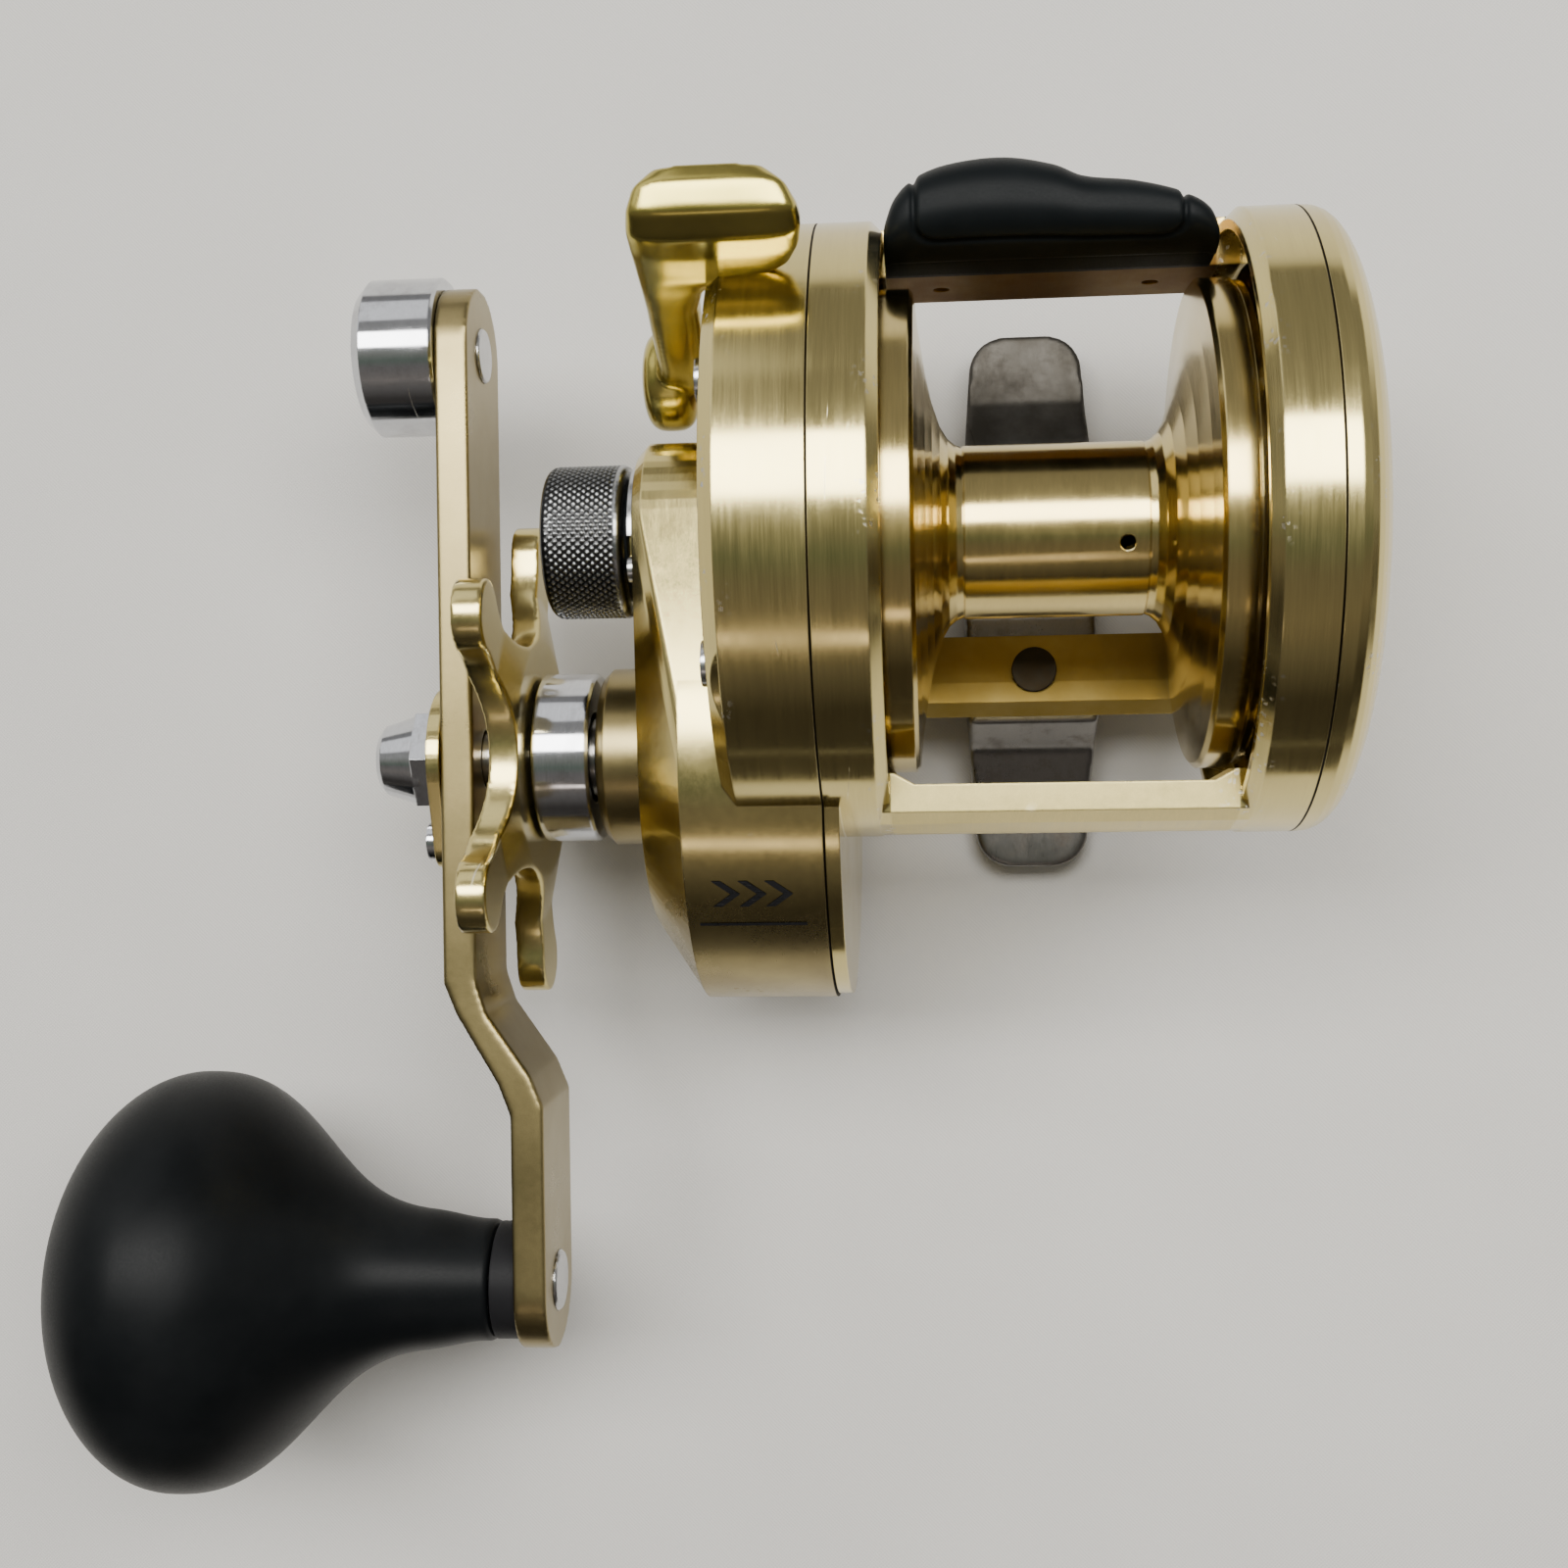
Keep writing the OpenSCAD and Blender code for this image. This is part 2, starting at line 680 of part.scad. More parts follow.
// Bright hollow sleeve between the collar and the star
module drag_sleeve() {
    x0 = star_in + 0.3;
    x1 = x0 + 5.7;
    color([0.80, 0.80, 0.82])
    difference() {
        turned([[x0, 0], [x0, 8.2], [x0 + 0.3, 8.5], [x1 - 0.3, 8.5], [x1, 8.2], [x1, 0]],
            shaft_y, shaft_z);
        rod_x(x0 + 1, x1 - 0.9, 7.5, shaft_y, shaft_z);
        rod_x(x0 - 1, x1 + 1, shaft_r + run, shaft_y, shaft_z);
    }
}

module drag_springs() {
    color(steel)
    for (i = [0:3])
        translate([star_in + 1.35 + i * 0.92, shaft_y, shaft_z])
            rotate([0, i % 2 == 0 ? 90 : -90, 0])
                translate([0, 0, i % 2 == 0 ? 0 : -0.85])
                    difference() {
                        cylinder(r1 = 6.6, r2 = 6.1, h = 0.85);
                        translate([0, 0, -1]) cylinder(r = shaft_r + run, h = 3);
                    }
}

// ---- Star drag ----

// Outline: five round tips joined by hollow arcs that touch them smoothly
tip_r = 3.5;
valley_r = 12;
half_step = 36;
hollow_r = (valley_r * valley_r + star_r * star_r - 2 * star_r * valley_r * cos(half_step)
    - tip_r * tip_r) / (2 * (star_r * cos(half_step) + tip_r - valley_r));
hollow_d = valley_r + hollow_r;

// Where a hollow arc meets the round tip, on one side of an arm that points along X
function touch(side) =
    let (to = [hollow_d * cos(half_step) - star_r, side * hollow_d * sin(half_step)])
    [star_r, 0] + to * tip_r / norm(to);
function turn(p, a) = [p[0] * cos(a) - p[1] * sin(a), p[0] * sin(a) + p[1] * cos(a)];

module star_outline() {
    arms = [for (i = [0:4]) 54 + i * 72];
    for (a = arms) rotate(a) translate([star_r, 0]) circle(r = tip_r);
    difference() {
        polygon([for (a = arms) for (p = [touch(-1), [star_r, 0], touch(1)]) turn(p, a)]);
        for (a = arms) rotate(a + half_step) translate([hollow_d, 0]) circle(r = hollow_r);
    }
}

// The star is dished towards the handle, so its arms stand further out than its hub
module star_drag() {
    t = 2.9;
    dish = 1.1;
    color(gold)
    difference() {
        intersection() {
            on_axis(star_in - 8, shaft_y, shaft_z)
                linear_extrude(10) star_outline();
            turned([[star_in, 0], [star_in, valley_r], [star_in - dish, 17], [star_in - dish, 26],
                [star_in - dish - t, 26], [star_in - dish - t, 17], [star_in - t, valley_r],
                [star_in - t, 0]], shaft_y, shaft_z);
        }
        rod_x(star_in - 9, star_in + 2, 4.5, shaft_y, shaft_z);
    }
}

module drag_nut() {
    color([0.78, 0.62, 0.34])
    difference() {
        union() {
            rod_x(star_in - 3.3, star_in - 0.05, 4.48, shaft_y, shaft_z);
            rod_x(star_in - 4.2, star_in - 2.92, 5.6, shaft_y, shaft_z);
        }
        rod_x(star_in - 9, star_in + 2, shaft_r + run, shaft_y, shaft_z);
    }
}

// ---- Handle ----

// Edge-on outline of the arm: straight at the weight, cranked in towards the knob
arm_edge = [[arm_in, weight_y + 8], [arm_in, shaft_y - 22.1], [arm_in + 1, shaft_y - 25.3],
    [low_in - 1.2, shaft_y - 31.5], [low_in, shaft_y - 34.5], [low_in, knob_y - 8],
    [low_out, knob_y - 8], [low_out, shaft_y - 35.5], [low_out - 1.2, shaft_y - 32.3],
    [arm_out + 1.2, shaft_y - 25.3], [arm_out, shaft_y - 22.3], [arm_out, weight_y + 8]];

module handle_arm() {
    color(gold)
    difference() {
        intersection() {
            translate([0, 0, shaft_z - arm_w / 2]) linear_extrude(arm_w) polygon(arm_edge);
            union() {
                rod_x(arm_out - 1, low_in + 1, arm_w / 2, weight_y, shaft_z);
                rod_x(arm_out - 1, low_in + 1, arm_w / 2, knob_y, shaft_z);
                translate([arm_out - 1, knob_y, shaft_z - arm_w / 2])
                    cube([arm_t + crank + 2, weight_y - knob_y, arm_w]);
            }
        }
        rod_x(arm_out - 1, arm_in + 1, shaft_r + 0.03, shaft_y, shaft_z);
        rod_x(arm_out - 1, arm_in + 1, 2.02, weight_y, shaft_z);
        rod_x(low_out - 1, low_in + 1, 2.22, knob_y, shaft_z);
        rod_x(arm_out - 1, arm_out + 1.5, 0.8, shaft_y - 8.3, shaft_z + 2);
    }
}

module nut_retainer() {
    x0 = arm_out - 1.3;
    color(gold)
    difference() {
        hull() {
            rod_x(x0, arm_out - 0.02, 7.2, shaft_y, shaft_z);
            rod_x(x0, arm_out - 0.02, 2.6, shaft_y - 8.3, shaft_z + 2);
        }
        rod_x(x0 - 1, arm_out + 1, shaft_r + 0.03, shaft_y, shaft_z);
        rod_x(x0 - 1, arm_out + 1, 0.8, shaft_y - 8.3, shaft_z + 2);
    }
}

module handle_nut() {
    x0 = arm_out - 1.32;
    color([0.80, 0.80, 0.82])
    difference() {
        union() {
            translate([x0 - 2.2, shaft_y, shaft_z]) rotate([0, 90, 0])
                cylinder(r = 5.4, h = 2.2, $fn = 6);
            turned([[x0 - 6.3, 0], [x0 - 6.3, 2.9], [x0 - 5.7, 3.6], [x0 - 2.2, 4.7],
                [x0 - 1.5, 4.7], [x0 - 1.5, 0]], shaft_y, shaft_z);
        }
        rod_x(x0 - 3.6, x0 + 1, shaft_r + 0.03, shaft_y, shaft_z);
    }
}

module retainer_screw() {
    color(steel)
    screw_x(arm_out - 1.3, shaft_y - 8.3, shaft_z + 2, 1.9, 1, 0.77, 2.4, -1);
}

module counterweight() {
    x1 = arm_out - 0.02;
    x0 = x1 - 8.3;
    color([0.80, 0.80, 0.82])
    difference() {
        turned([[x0, 0], [x0, weight_r - 1], [x0 + 1, weight_r], [x1 - 0.3, weight_r],
            [x1, weight_r - 0.3], [x1, 0]], weight_y, shaft_z);
        rod_x(x1 - 6, x1 + 1, 2.02, weight_y, shaft_z);
    }
}

module weight_rivet() {
    color(steel) {
        rod_x(arm_out - 5.5, arm_in + 0.1, 2, weight_y, shaft_z);
        turned([[arm_in + 0.02, 0], [arm_in + 0.02, 2.8], [arm_in + 0.3, 2.6], [arm_in + 0.3, 0]],
            weight_y, shaft_z);
    }
}

module knob_shaft() {
    color(steel) {
        rod_x(low_out - 38, low_in + 0.1, 2.2, knob_y, shaft_z);
        turned([[low_in + 0.02, 0], [low_in + 0.02, 3.1], [low_in + 0.35, 2.8], [low_in + 0.35, 0]],
            knob_y, shaft_z);
    }
}

module knob_collar() {
    color(dark)
    tube_x(low_out - 2.6, low_out - 0.05, 5.85, 2.24, knob_y, shaft_z);
}

// The knob: half an ellipse outside, a bell-shaped flare down to the neck
knob_c = -87;
knob_end = 15.9;
neck_r = 6.05;
knob_start = low_out - 2.9;
knob_outline = concat(
    [[knob_start, 0], [knob_start, neck_r - 0.4], [knob_start - 0.4, neck_r]],
    [for (i = [0:22]) let (d = (knob_start - 1 - knob_c) * (1 - i / 22))
        [knob_c + d, neck_r + (knob_r - neck_r) * exp(-pow(d / 13.8, 2.6))]],
    [for (i = [1:16]) let (t = i * 90 / 16)
        [knob_c - knob_end * sin(t), knob_r * cos(t)]]);

module handle_knob() {
    color(dark)
    difference() {
        turned(knob_outline, knob_y, shaft_z);
        rod_x(low_out - 38.6, knob_start + 1, 4.02, knob_y, shaft_z);
    }
}

module knob_bearings() {
    color(steel)
    for (x = [knob_start - 3.2, knob_start - 33])
        ball_bearing(x, 3, 4, 2.25, knob_y, shaft_z);
}

// ---- Cast control ----

module cast_knob() {
    x1 = cover_face - 1.0;
    x0 = x1 - 7.9;
    color([0.62, 0.63, 0.65])
    difference() {
        turned([[x0, 0], [x0, cast_r - 1.1], [x0 + 0.35, cast_r - 0.45], [x0 + 1, cast_r],
            [x1 - 0.7, cast_r], [x1, cast_r - 0.7], [x1, 0]], spool_y, spool_z);
        rod_x(x0 + 1.3, x1 + 1, 5.35, spool_y, spool_z);
        rod_x(x1 - 0.75, x1 + 1, 6.15, spool_y, spool_z);
    }
}

module cast_oring() {
    color(dark)
    translate([cover_face - 1.0, spool_y, spool_z])
        rotate([0, 90, 0])
            rotate_extrude() translate([5.72, -0.02]) circle(r = 0.34, $fn = 24);
}

// ---- Clutch ----

// Thumb lever: a boss on the pivot, an arm up the side and a tab over the rim
tab_y = spool_y + 23.6;
tab_z = spool_z + 20.2;

module lever_ball(x, y, z, r) {
    translate([x, y, z]) sphere(r = r, $fn = 28);
}

module clutch_lever() {
    r = 2.3;
    tab_r = 1.7;
    root_x = (lever_in + lever_out) / 2 + 0.3;
    arm_x = root_x + 1.1;
    neck_x = arm_x + 0.9;
    color([0.62, 0.53, 0.24])
    difference() {
        union() {
            // Boss
            turned([[lever_in, 0], [lever_in, 4.3], [lever_in - 0.5, 4.8], [lever_out + 0.9, 4.8],
                [lever_out, 3.9], [lever_out, 0]], pivot_y, pivot_z);
            // Arm
            hull() {
                lever_ball(root_x, pivot_y - 1.5, pivot_z + 1, r);
                lever_ball(root_x, pivot_y + 2.2, pivot_z + 1, r);
                lever_ball(arm_x, tab_y + 1.8, tab_z - 6, r);
                lever_ball(arm_x, tab_y - 3, tab_z - 4, r);
            }
            // Neck, widening into the tab
            hull() {
                lever_ball(arm_x, tab_y + 1.8, tab_z - 6, r);
                lever_ball(arm_x, tab_y - 3, tab_z - 4, r);
                lever_ball(neck_x, tab_y + 3.7, tab_z - 2.4, r);
                lever_ball(neck_x, tab_y - 2.2, tab_z + 2, r);
            }
            // Tab
            hull() {
                lever_ball(neck_x, tab_y + 3.7, tab_z - 2.4, r);
                lever_ball(neck_x, tab_y - 2.2, tab_z + 2, r);
                lever_ball(neck_x + 8.1, tab_y + 4.2, tab_z - 1.9, tab_r);
                lever_ball(neck_x + 10, tab_y + 2, tab_z + 0.2, tab_r);
                lever_ball(neck_x + 10, tab_y - 1, tab_z + 2, tab_r);
                lever_ball(neck_x + 8.3, tab_y - 2.6, tab_z + 3, tab_r);
            }
        }
        rod_x(lever_out + 0.8, lever_in + 1, 1.52, pivot_y, pivot_z);
    }
}

module lever_shaft() {
    color(steel)
    rod_x(lever_out + 0.85, disc_face + 5.4, spindle_r, pivot_y, pivot_z);
}

// Cam on the inner end of the lever's shaft; it lifts the yoke as the lever turns
module clutch_cam() {
    x0 = disc_face + 2.2;
    color(steel)
    difference() {
        union() {
            rod_x(x0, x0 + 3.4, 3, pivot_y, pivot_z);
            translate([x0 + 1.8, pivot_y - 8.2, pivot_z - 1.5]) cube([1.6, 8.2, 3]);
        }
        rod_x(x0 - 1, x0 + 5, 1.52, pivot_y, pivot_z);
    }
}

// Yoke: a flat fork that carries the pinion and slides on two posts
module clutch_yoke() {
    color(steel)
    difference() {
        section_x(yoke_x, yoke_x + yoke_t, [[-3.2, -6], [-1, -12], [6, -12], [6, 12], [-1, 12],
            [-3.2, 6]]);
        rod_x(yoke_x - 1, yoke_x + yoke_t + 1, groove_r + run, spool_y, spool_z);
        translate([yoke_x - 1, spool_y - 9, spool_z - groove_r - run])
            cube([yoke_t + 2, 9, 2 * (groove_r + run)]);
        for (s = [-1, 1])
            rod_x(yoke_x - 1, yoke_x + yoke_t + 1, 0.95, spool_y + post_y, spool_z + s * post_z);
    }
}

// ---- Spool ----

mid_x = (web_l + ring_r_end) / 2;
half_w = 16.5;
pin_x = -18.4;

// Half of the line side of the spool, from the middle of the band to the flange's rim
function spool_half(s) = [for (p = [[8.3, arbor_r], [8.35, arbor_r - 0.15], [9.0, 8.2], [9.7, 8.8],
    [10.4, 10], [11.1, 12.2], [11.7, 15], [12.3, 19], [12.6, flange_r - 0.5],
    [13.0, flange_r]]) [mid_x + s * p[0], p[1]]];

module spool() {
    rim_l = mid_x - half_w + 0.2;
    rim_r = mid_x + half_w;
    right = spool_half(1);
    left = spool_half(-1);
    color(gold)
    difference() {
        turned(concat([[rim_l, 0], [rim_l, flange_r - 0.4], [rim_l + 0.4, flange_r]],
            [for (i = [len(left) - 1:-1:0]) left[i]], right,
            [[mid_x + 15.5, flange_r], [mid_x + 15.5, flange_r - 0.7],
            [mid_x + 15.7, flange_r - 0.7], [mid_x + 15.7, flange_r - 0.3],
            [rim_r, flange_r - 0.3], [rim_r, 0]]), spool_y, spool_z);
        // Hollows on the outer faces and inside the arbor
        turned([[rim_l - 1, 0], [rim_l - 1, 20.4], [-13.6, 20.4], [-12.3, 12], [-9.6, 7],
            [-8.4, 3.4], [-8.4, 0]], spool_y, spool_z);
        turned([[rim_r + 1, 0], [rim_r + 1, 20.6], [15.1, 20.6], [13.4, 12.4], [11, 7.4],
            [10.6, 6.4], [-6.6, 6.4], [-6.6, 3.2], [10.2, 3.2], [10.2, 0]], spool_y, spool_z);
        rod_x(-20, 24, spindle_r + 0.01, spool_y, spool_z);
        // Hole for tying the line, through the wall of the arbor
        translate([7.1, spool_y, spool_z]) rotate([16, 0, 0]) translate([0, 0, 5])
            cylinder(r = 0.7, h = 5, $fn = 24);
    }
}

module spool_shaft() {
    color(steel)
    difference() {
        turned([[-44.6, 0], [-44.6, 0.8], [-44.1, spindle_r], [21.2, spindle_r], [21.7, 0.8],
            [21.7, 0]], spool_y, spool_z);
        translate([pin_x, spool_y, spool_z]) rotate([90, 0, 0])
            cylinder(r = 0.51, h = 9, center = true);
    }
}

// Cross pin in the spool shaft that the pinion's slot drives
module clutch_pin() {
    color(steel)
    translate([pin_x, spool_y, spool_z]) rotate([90, 0, 0])
        cylinder(r = 0.5, h = 7, center = true);
}

module brake_hub() {
    color([0.82, 0.80, 0.74])
    difference() {
        union() {
            rod_x(10.9, 16.4, 3.4, spool_y, spool_z);
            for (a = [0:60:300])
                translate([13.9, spool_y, spool_z]) rotate([a, 0, 0])
                    cylinder(r = 0.6, h = 10.6, $fn = 24);
        }
        rod_x(10, 18, spindle_r + 0.01, spool_y, spool_z);
    }
}

// Blocks that slide out along the hub's spokes and rub on the drum
module brake_blocks() {
    color([0.55, 0.10, 0.09])
    for (a = [0:60:300])
        translate([13.9, spool_y, spool_z]) rotate([a, 0, 0])
            difference() {
                translate([0, 0, 7]) cylinder(r = 1.5, h = 2.4);
                translate([0, 0, 6]) cylinder(r = 0.64, h = 5, $fn = 24);
            }
}

frame();
reel_foot();
foot_rivets();
gear_side_cover();
cover_screws();
palm_cover();
palm_cover_screws();
thumb_rest();
thumb_rest_pad();
thumb_rest_screws();
bearing_collar();
collar_screws();
anti_reverse_bearing();
shaft_inner_bearing();
cast_click_ring();
cast_click_pin();
spool_bearing_left();
spool_bearing_right();
shaft_outer_bearing();
pinion_bush();
tension_shim_left();
tension_shim_right();
brake_drum();
yoke_posts();
yoke_springs();
lever_bushing();
drive_shaft();
drive_gear();
drag_washers();
pressure_plate();
ratchet_wheel();
roller_sleeve();
drag_sleeve();
drag_springs();
handle_arm();
handle_nut();
nut_retainer();
retainer_screw();
counterweight();
weight_rivet();
knob_shaft();
knob_collar();
star_drag();
drag_nut();
handle_knob();
knob_bearings();
cast_knob();
cast_oring();
clutch_lever();
lever_shaft();
clutch_cam();
clutch_yoke();
pinion_gear();
spool();
spool_shaft();
clutch_pin();
brake_hub();
brake_blocks();
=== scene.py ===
"""Looks of the baitcasting reel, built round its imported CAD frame. Metres, +Z up."""
import json
import math

import bmesh
import bpy
from mathutils import Matrix, Vector


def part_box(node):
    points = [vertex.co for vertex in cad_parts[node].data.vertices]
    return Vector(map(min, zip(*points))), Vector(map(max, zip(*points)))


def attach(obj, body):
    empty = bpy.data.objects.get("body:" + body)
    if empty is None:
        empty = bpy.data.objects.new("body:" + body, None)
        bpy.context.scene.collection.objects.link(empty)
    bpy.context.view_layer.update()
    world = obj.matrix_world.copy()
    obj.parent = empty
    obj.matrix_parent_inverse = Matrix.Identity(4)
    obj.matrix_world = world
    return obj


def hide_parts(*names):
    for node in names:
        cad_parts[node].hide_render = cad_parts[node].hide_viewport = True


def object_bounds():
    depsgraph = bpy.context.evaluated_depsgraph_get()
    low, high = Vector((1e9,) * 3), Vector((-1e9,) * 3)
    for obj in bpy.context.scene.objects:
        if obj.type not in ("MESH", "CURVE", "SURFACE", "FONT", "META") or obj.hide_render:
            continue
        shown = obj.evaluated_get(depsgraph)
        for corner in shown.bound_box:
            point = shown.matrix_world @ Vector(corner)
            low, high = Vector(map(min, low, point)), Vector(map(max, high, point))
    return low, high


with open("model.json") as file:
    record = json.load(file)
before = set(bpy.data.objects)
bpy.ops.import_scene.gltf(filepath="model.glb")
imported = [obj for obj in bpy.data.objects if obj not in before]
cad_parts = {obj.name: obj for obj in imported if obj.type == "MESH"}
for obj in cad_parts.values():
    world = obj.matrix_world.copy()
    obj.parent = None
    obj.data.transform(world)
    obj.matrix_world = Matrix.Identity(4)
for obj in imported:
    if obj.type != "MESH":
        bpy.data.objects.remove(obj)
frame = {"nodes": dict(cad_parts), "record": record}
cad_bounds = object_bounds()

MM = 0.001


def centre(node):
    """Middle of a CAD node's box."""
    low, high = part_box(node)
    return (low + high) / 2


def box_radius(node):
    """Radius of a round CAD node whose axis is parallel to X."""
    low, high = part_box(node)
    return (high.y - low.y) / 2


# ---- Places on the reel ----

SPOOL_AXIS = centre("spool_shaft")
SHAFT_AXIS = centre("drive_shaft")
KNOB_AXIS = centre("knob_collar")
# Joints between the covers and the frame, along X
SEAMS = (-20.3 * MM, 21.94 * MM)
# The stretch of crossbars between the rings, along X
BAR_SPAN = (-14.5 * MM, 16.3 * MM)
# Outer rims of the two covers, which knock against things
COVER_RIMS = (-28.8 * MM, 26.0 * MM)
# Outside of the round gear case, from the drive shaft's axis
CASE_RADIUS = 24.3 * MM
# The cast knob's knurl, and two radii for the painted shade in its grooves: full shade at the grooves'
# floors, none at the knurl's tops
CAST_RADIUS = box_radius("cast_knob")
KNURL_DEPTH = 0.26 * MM
CAST_GROOVE_SHADE = (CAST_RADIUS - KNURL_DEPTH * 0.8, CAST_RADIUS - KNURL_DEPTH * 0.25)

# Darker patches, painted shade where marked: low and high corner of a box and how far it fades
# inwards, in millimetres, and a tint
FRAME_DARK_PATCHES = [
    # Painted shade: the rear bar's inner face, darkened as if in shadow and mirroring the dark spool
    ((-15, 22, 20), (17, 40, 37), 1, (0.24, 0.13, 0.03)),  # the rear bar's inner face
    ((-15, -20, 0), (17, 20, 16), 1, (0.38, 0.27, 0.07)),  # the low bars
]
# Painted shade: the case's lower front is darkened, standing in for a dark reflection
PLATE_SHADE = [((-42, -56, -12), (-14, -26, 50), 7, (0.30, 0.24, 0.11))]  # the case's lower front
# Painted shade: the foot's rear half, under the frame, is darkened
FOOT_SHADE = [((-20, -2, -5), (20, 40, 20), 2, (0.045, 0.041, 0.034))]  # the foot's rear half

# ---- Tints ----

GOLD = (0.72, 0.60, 0.255)
DEEP_GOLD = (0.69, 0.55, 0.225)
PALE_GOLD = (0.88, 0.75, 0.40)
OLIVE_GOLD = (0.56, 0.47, 0.13)
PALE_OLIVE = (0.70, 0.60, 0.28)
SATIN_GOLD = (0.31, 0.25, 0.115)
BRASS = (0.74, 0.52, 0.24)
STEEL = (0.60, 0.60, 0.61)
CHROME = (0.66, 0.67, 0.70)
# Chrome darkened as painted shade for the knurled knob
SHADED_CHROME = (0.36, 0.37, 0.38)
FOOT_GREY = (0.24, 0.23, 0.215)
FOOT_EDGE = (0.36, 0.35, 0.33)
RIVET_BROWN = (0.045, 0.036, 0.024)
FIBRE = (0.02, 0.018, 0.016)
RUBBER = (0.0035, 0.0048, 0.0055)
KNOB_BLACK = (0.0035, 0.0042, 0.0048)
BLACK = (0.008, 0.008, 0.009)
BRAKE_WHITE = (0.62, 0.58, 0.50)
BRAKE_RED = (0.35, 0.02, 0.015)
GRIME = (0.07, 0.045, 0.02)
SCRATCH = (0.92, 0.86, 0.66)
BARE_METAL = (0.62, 0.62, 0.63)
CHIP = (0.33, 0.30, 0.25)
# Painted shade in the knurl's grooves
GROOVE_SHADE = (0.03, 0.03, 0.03)
SEAM_DARK = (0.02, 0.014, 0.006)
# A painted dark reflection, seen only in the metal
DARK_REFLECTION_CARD = (0.03, 0.026, 0.022, 1)
CLOTH = (0.66, 0.645, 0.62)
CLOTH_CLOUD = (0.60, 0.585, 0.56)
CLOTH_CORNER_SHADE = (0.36, 0.36, 0.35)


# ---- Nodes ----

class Graph:
    """A node tree, with its nodes added one at a time."""

    def __init__(self, tree):
        self.tree = tree
        self.tree.nodes.clear()

    def node(self, kind, inputs=None, **settings):
        """A new node. Its inputs are numbers, colours or other nodes' outputs."""
        made = self.tree.nodes.new(kind)
        for key, value in settings.items():
            setattr(made, key, value)
        for key, value in (inputs or {}).items():
            self.put(made.inputs[key], value)
        return made

    def put(self, socket, value):
        if isinstance(value, bpy.types.NodeSocket):
            self.tree.links.new(value, socket)
        else:
            socket.default_value = value

    def math(self, operation, a, b=0.0):
        return self.node("ShaderNodeMath", {0: a, 1: b}, operation=operation).outputs[0]

    def chain(self, operation, first, others):
        for other in others:
            first = self.math(operation, first, other)
        return first

    def plus(self, first, *others):
        return self.chain("ADD", first, others)

    def times(self, first, *others):
        return self.chain("MULTIPLY", first, others)

    def range(self, value, low, high, to_low=0.0, to_high=1.0):
        """Turns low into to_low and high into to_high, and stays between them."""
        made = self.node("ShaderNodeMapRange", {
            "Value": value, "From Min": low, "From Max": high, "To Min": to_low, "To Max": to_high})
        return made.outputs["Result"]

    def near(self, value, middle, reach, full=0.0):
        """1 within full of the middle, and 0 past reach."""
        return self.range(self.math("ABSOLUTE", self.math("SUBTRACT", value, middle)), reach, full)

    def within(self, value, low, high, fade):
        """1 between low and high, and 0 at both."""
        return self.times(self.range(value, low, low + fade), self.range(value, high, high - fade))

    def parts(self, vector):
        """The x, y and z of a vector."""
        return list(self.node("ShaderNodeSeparateXYZ", {0: vector}).outputs)


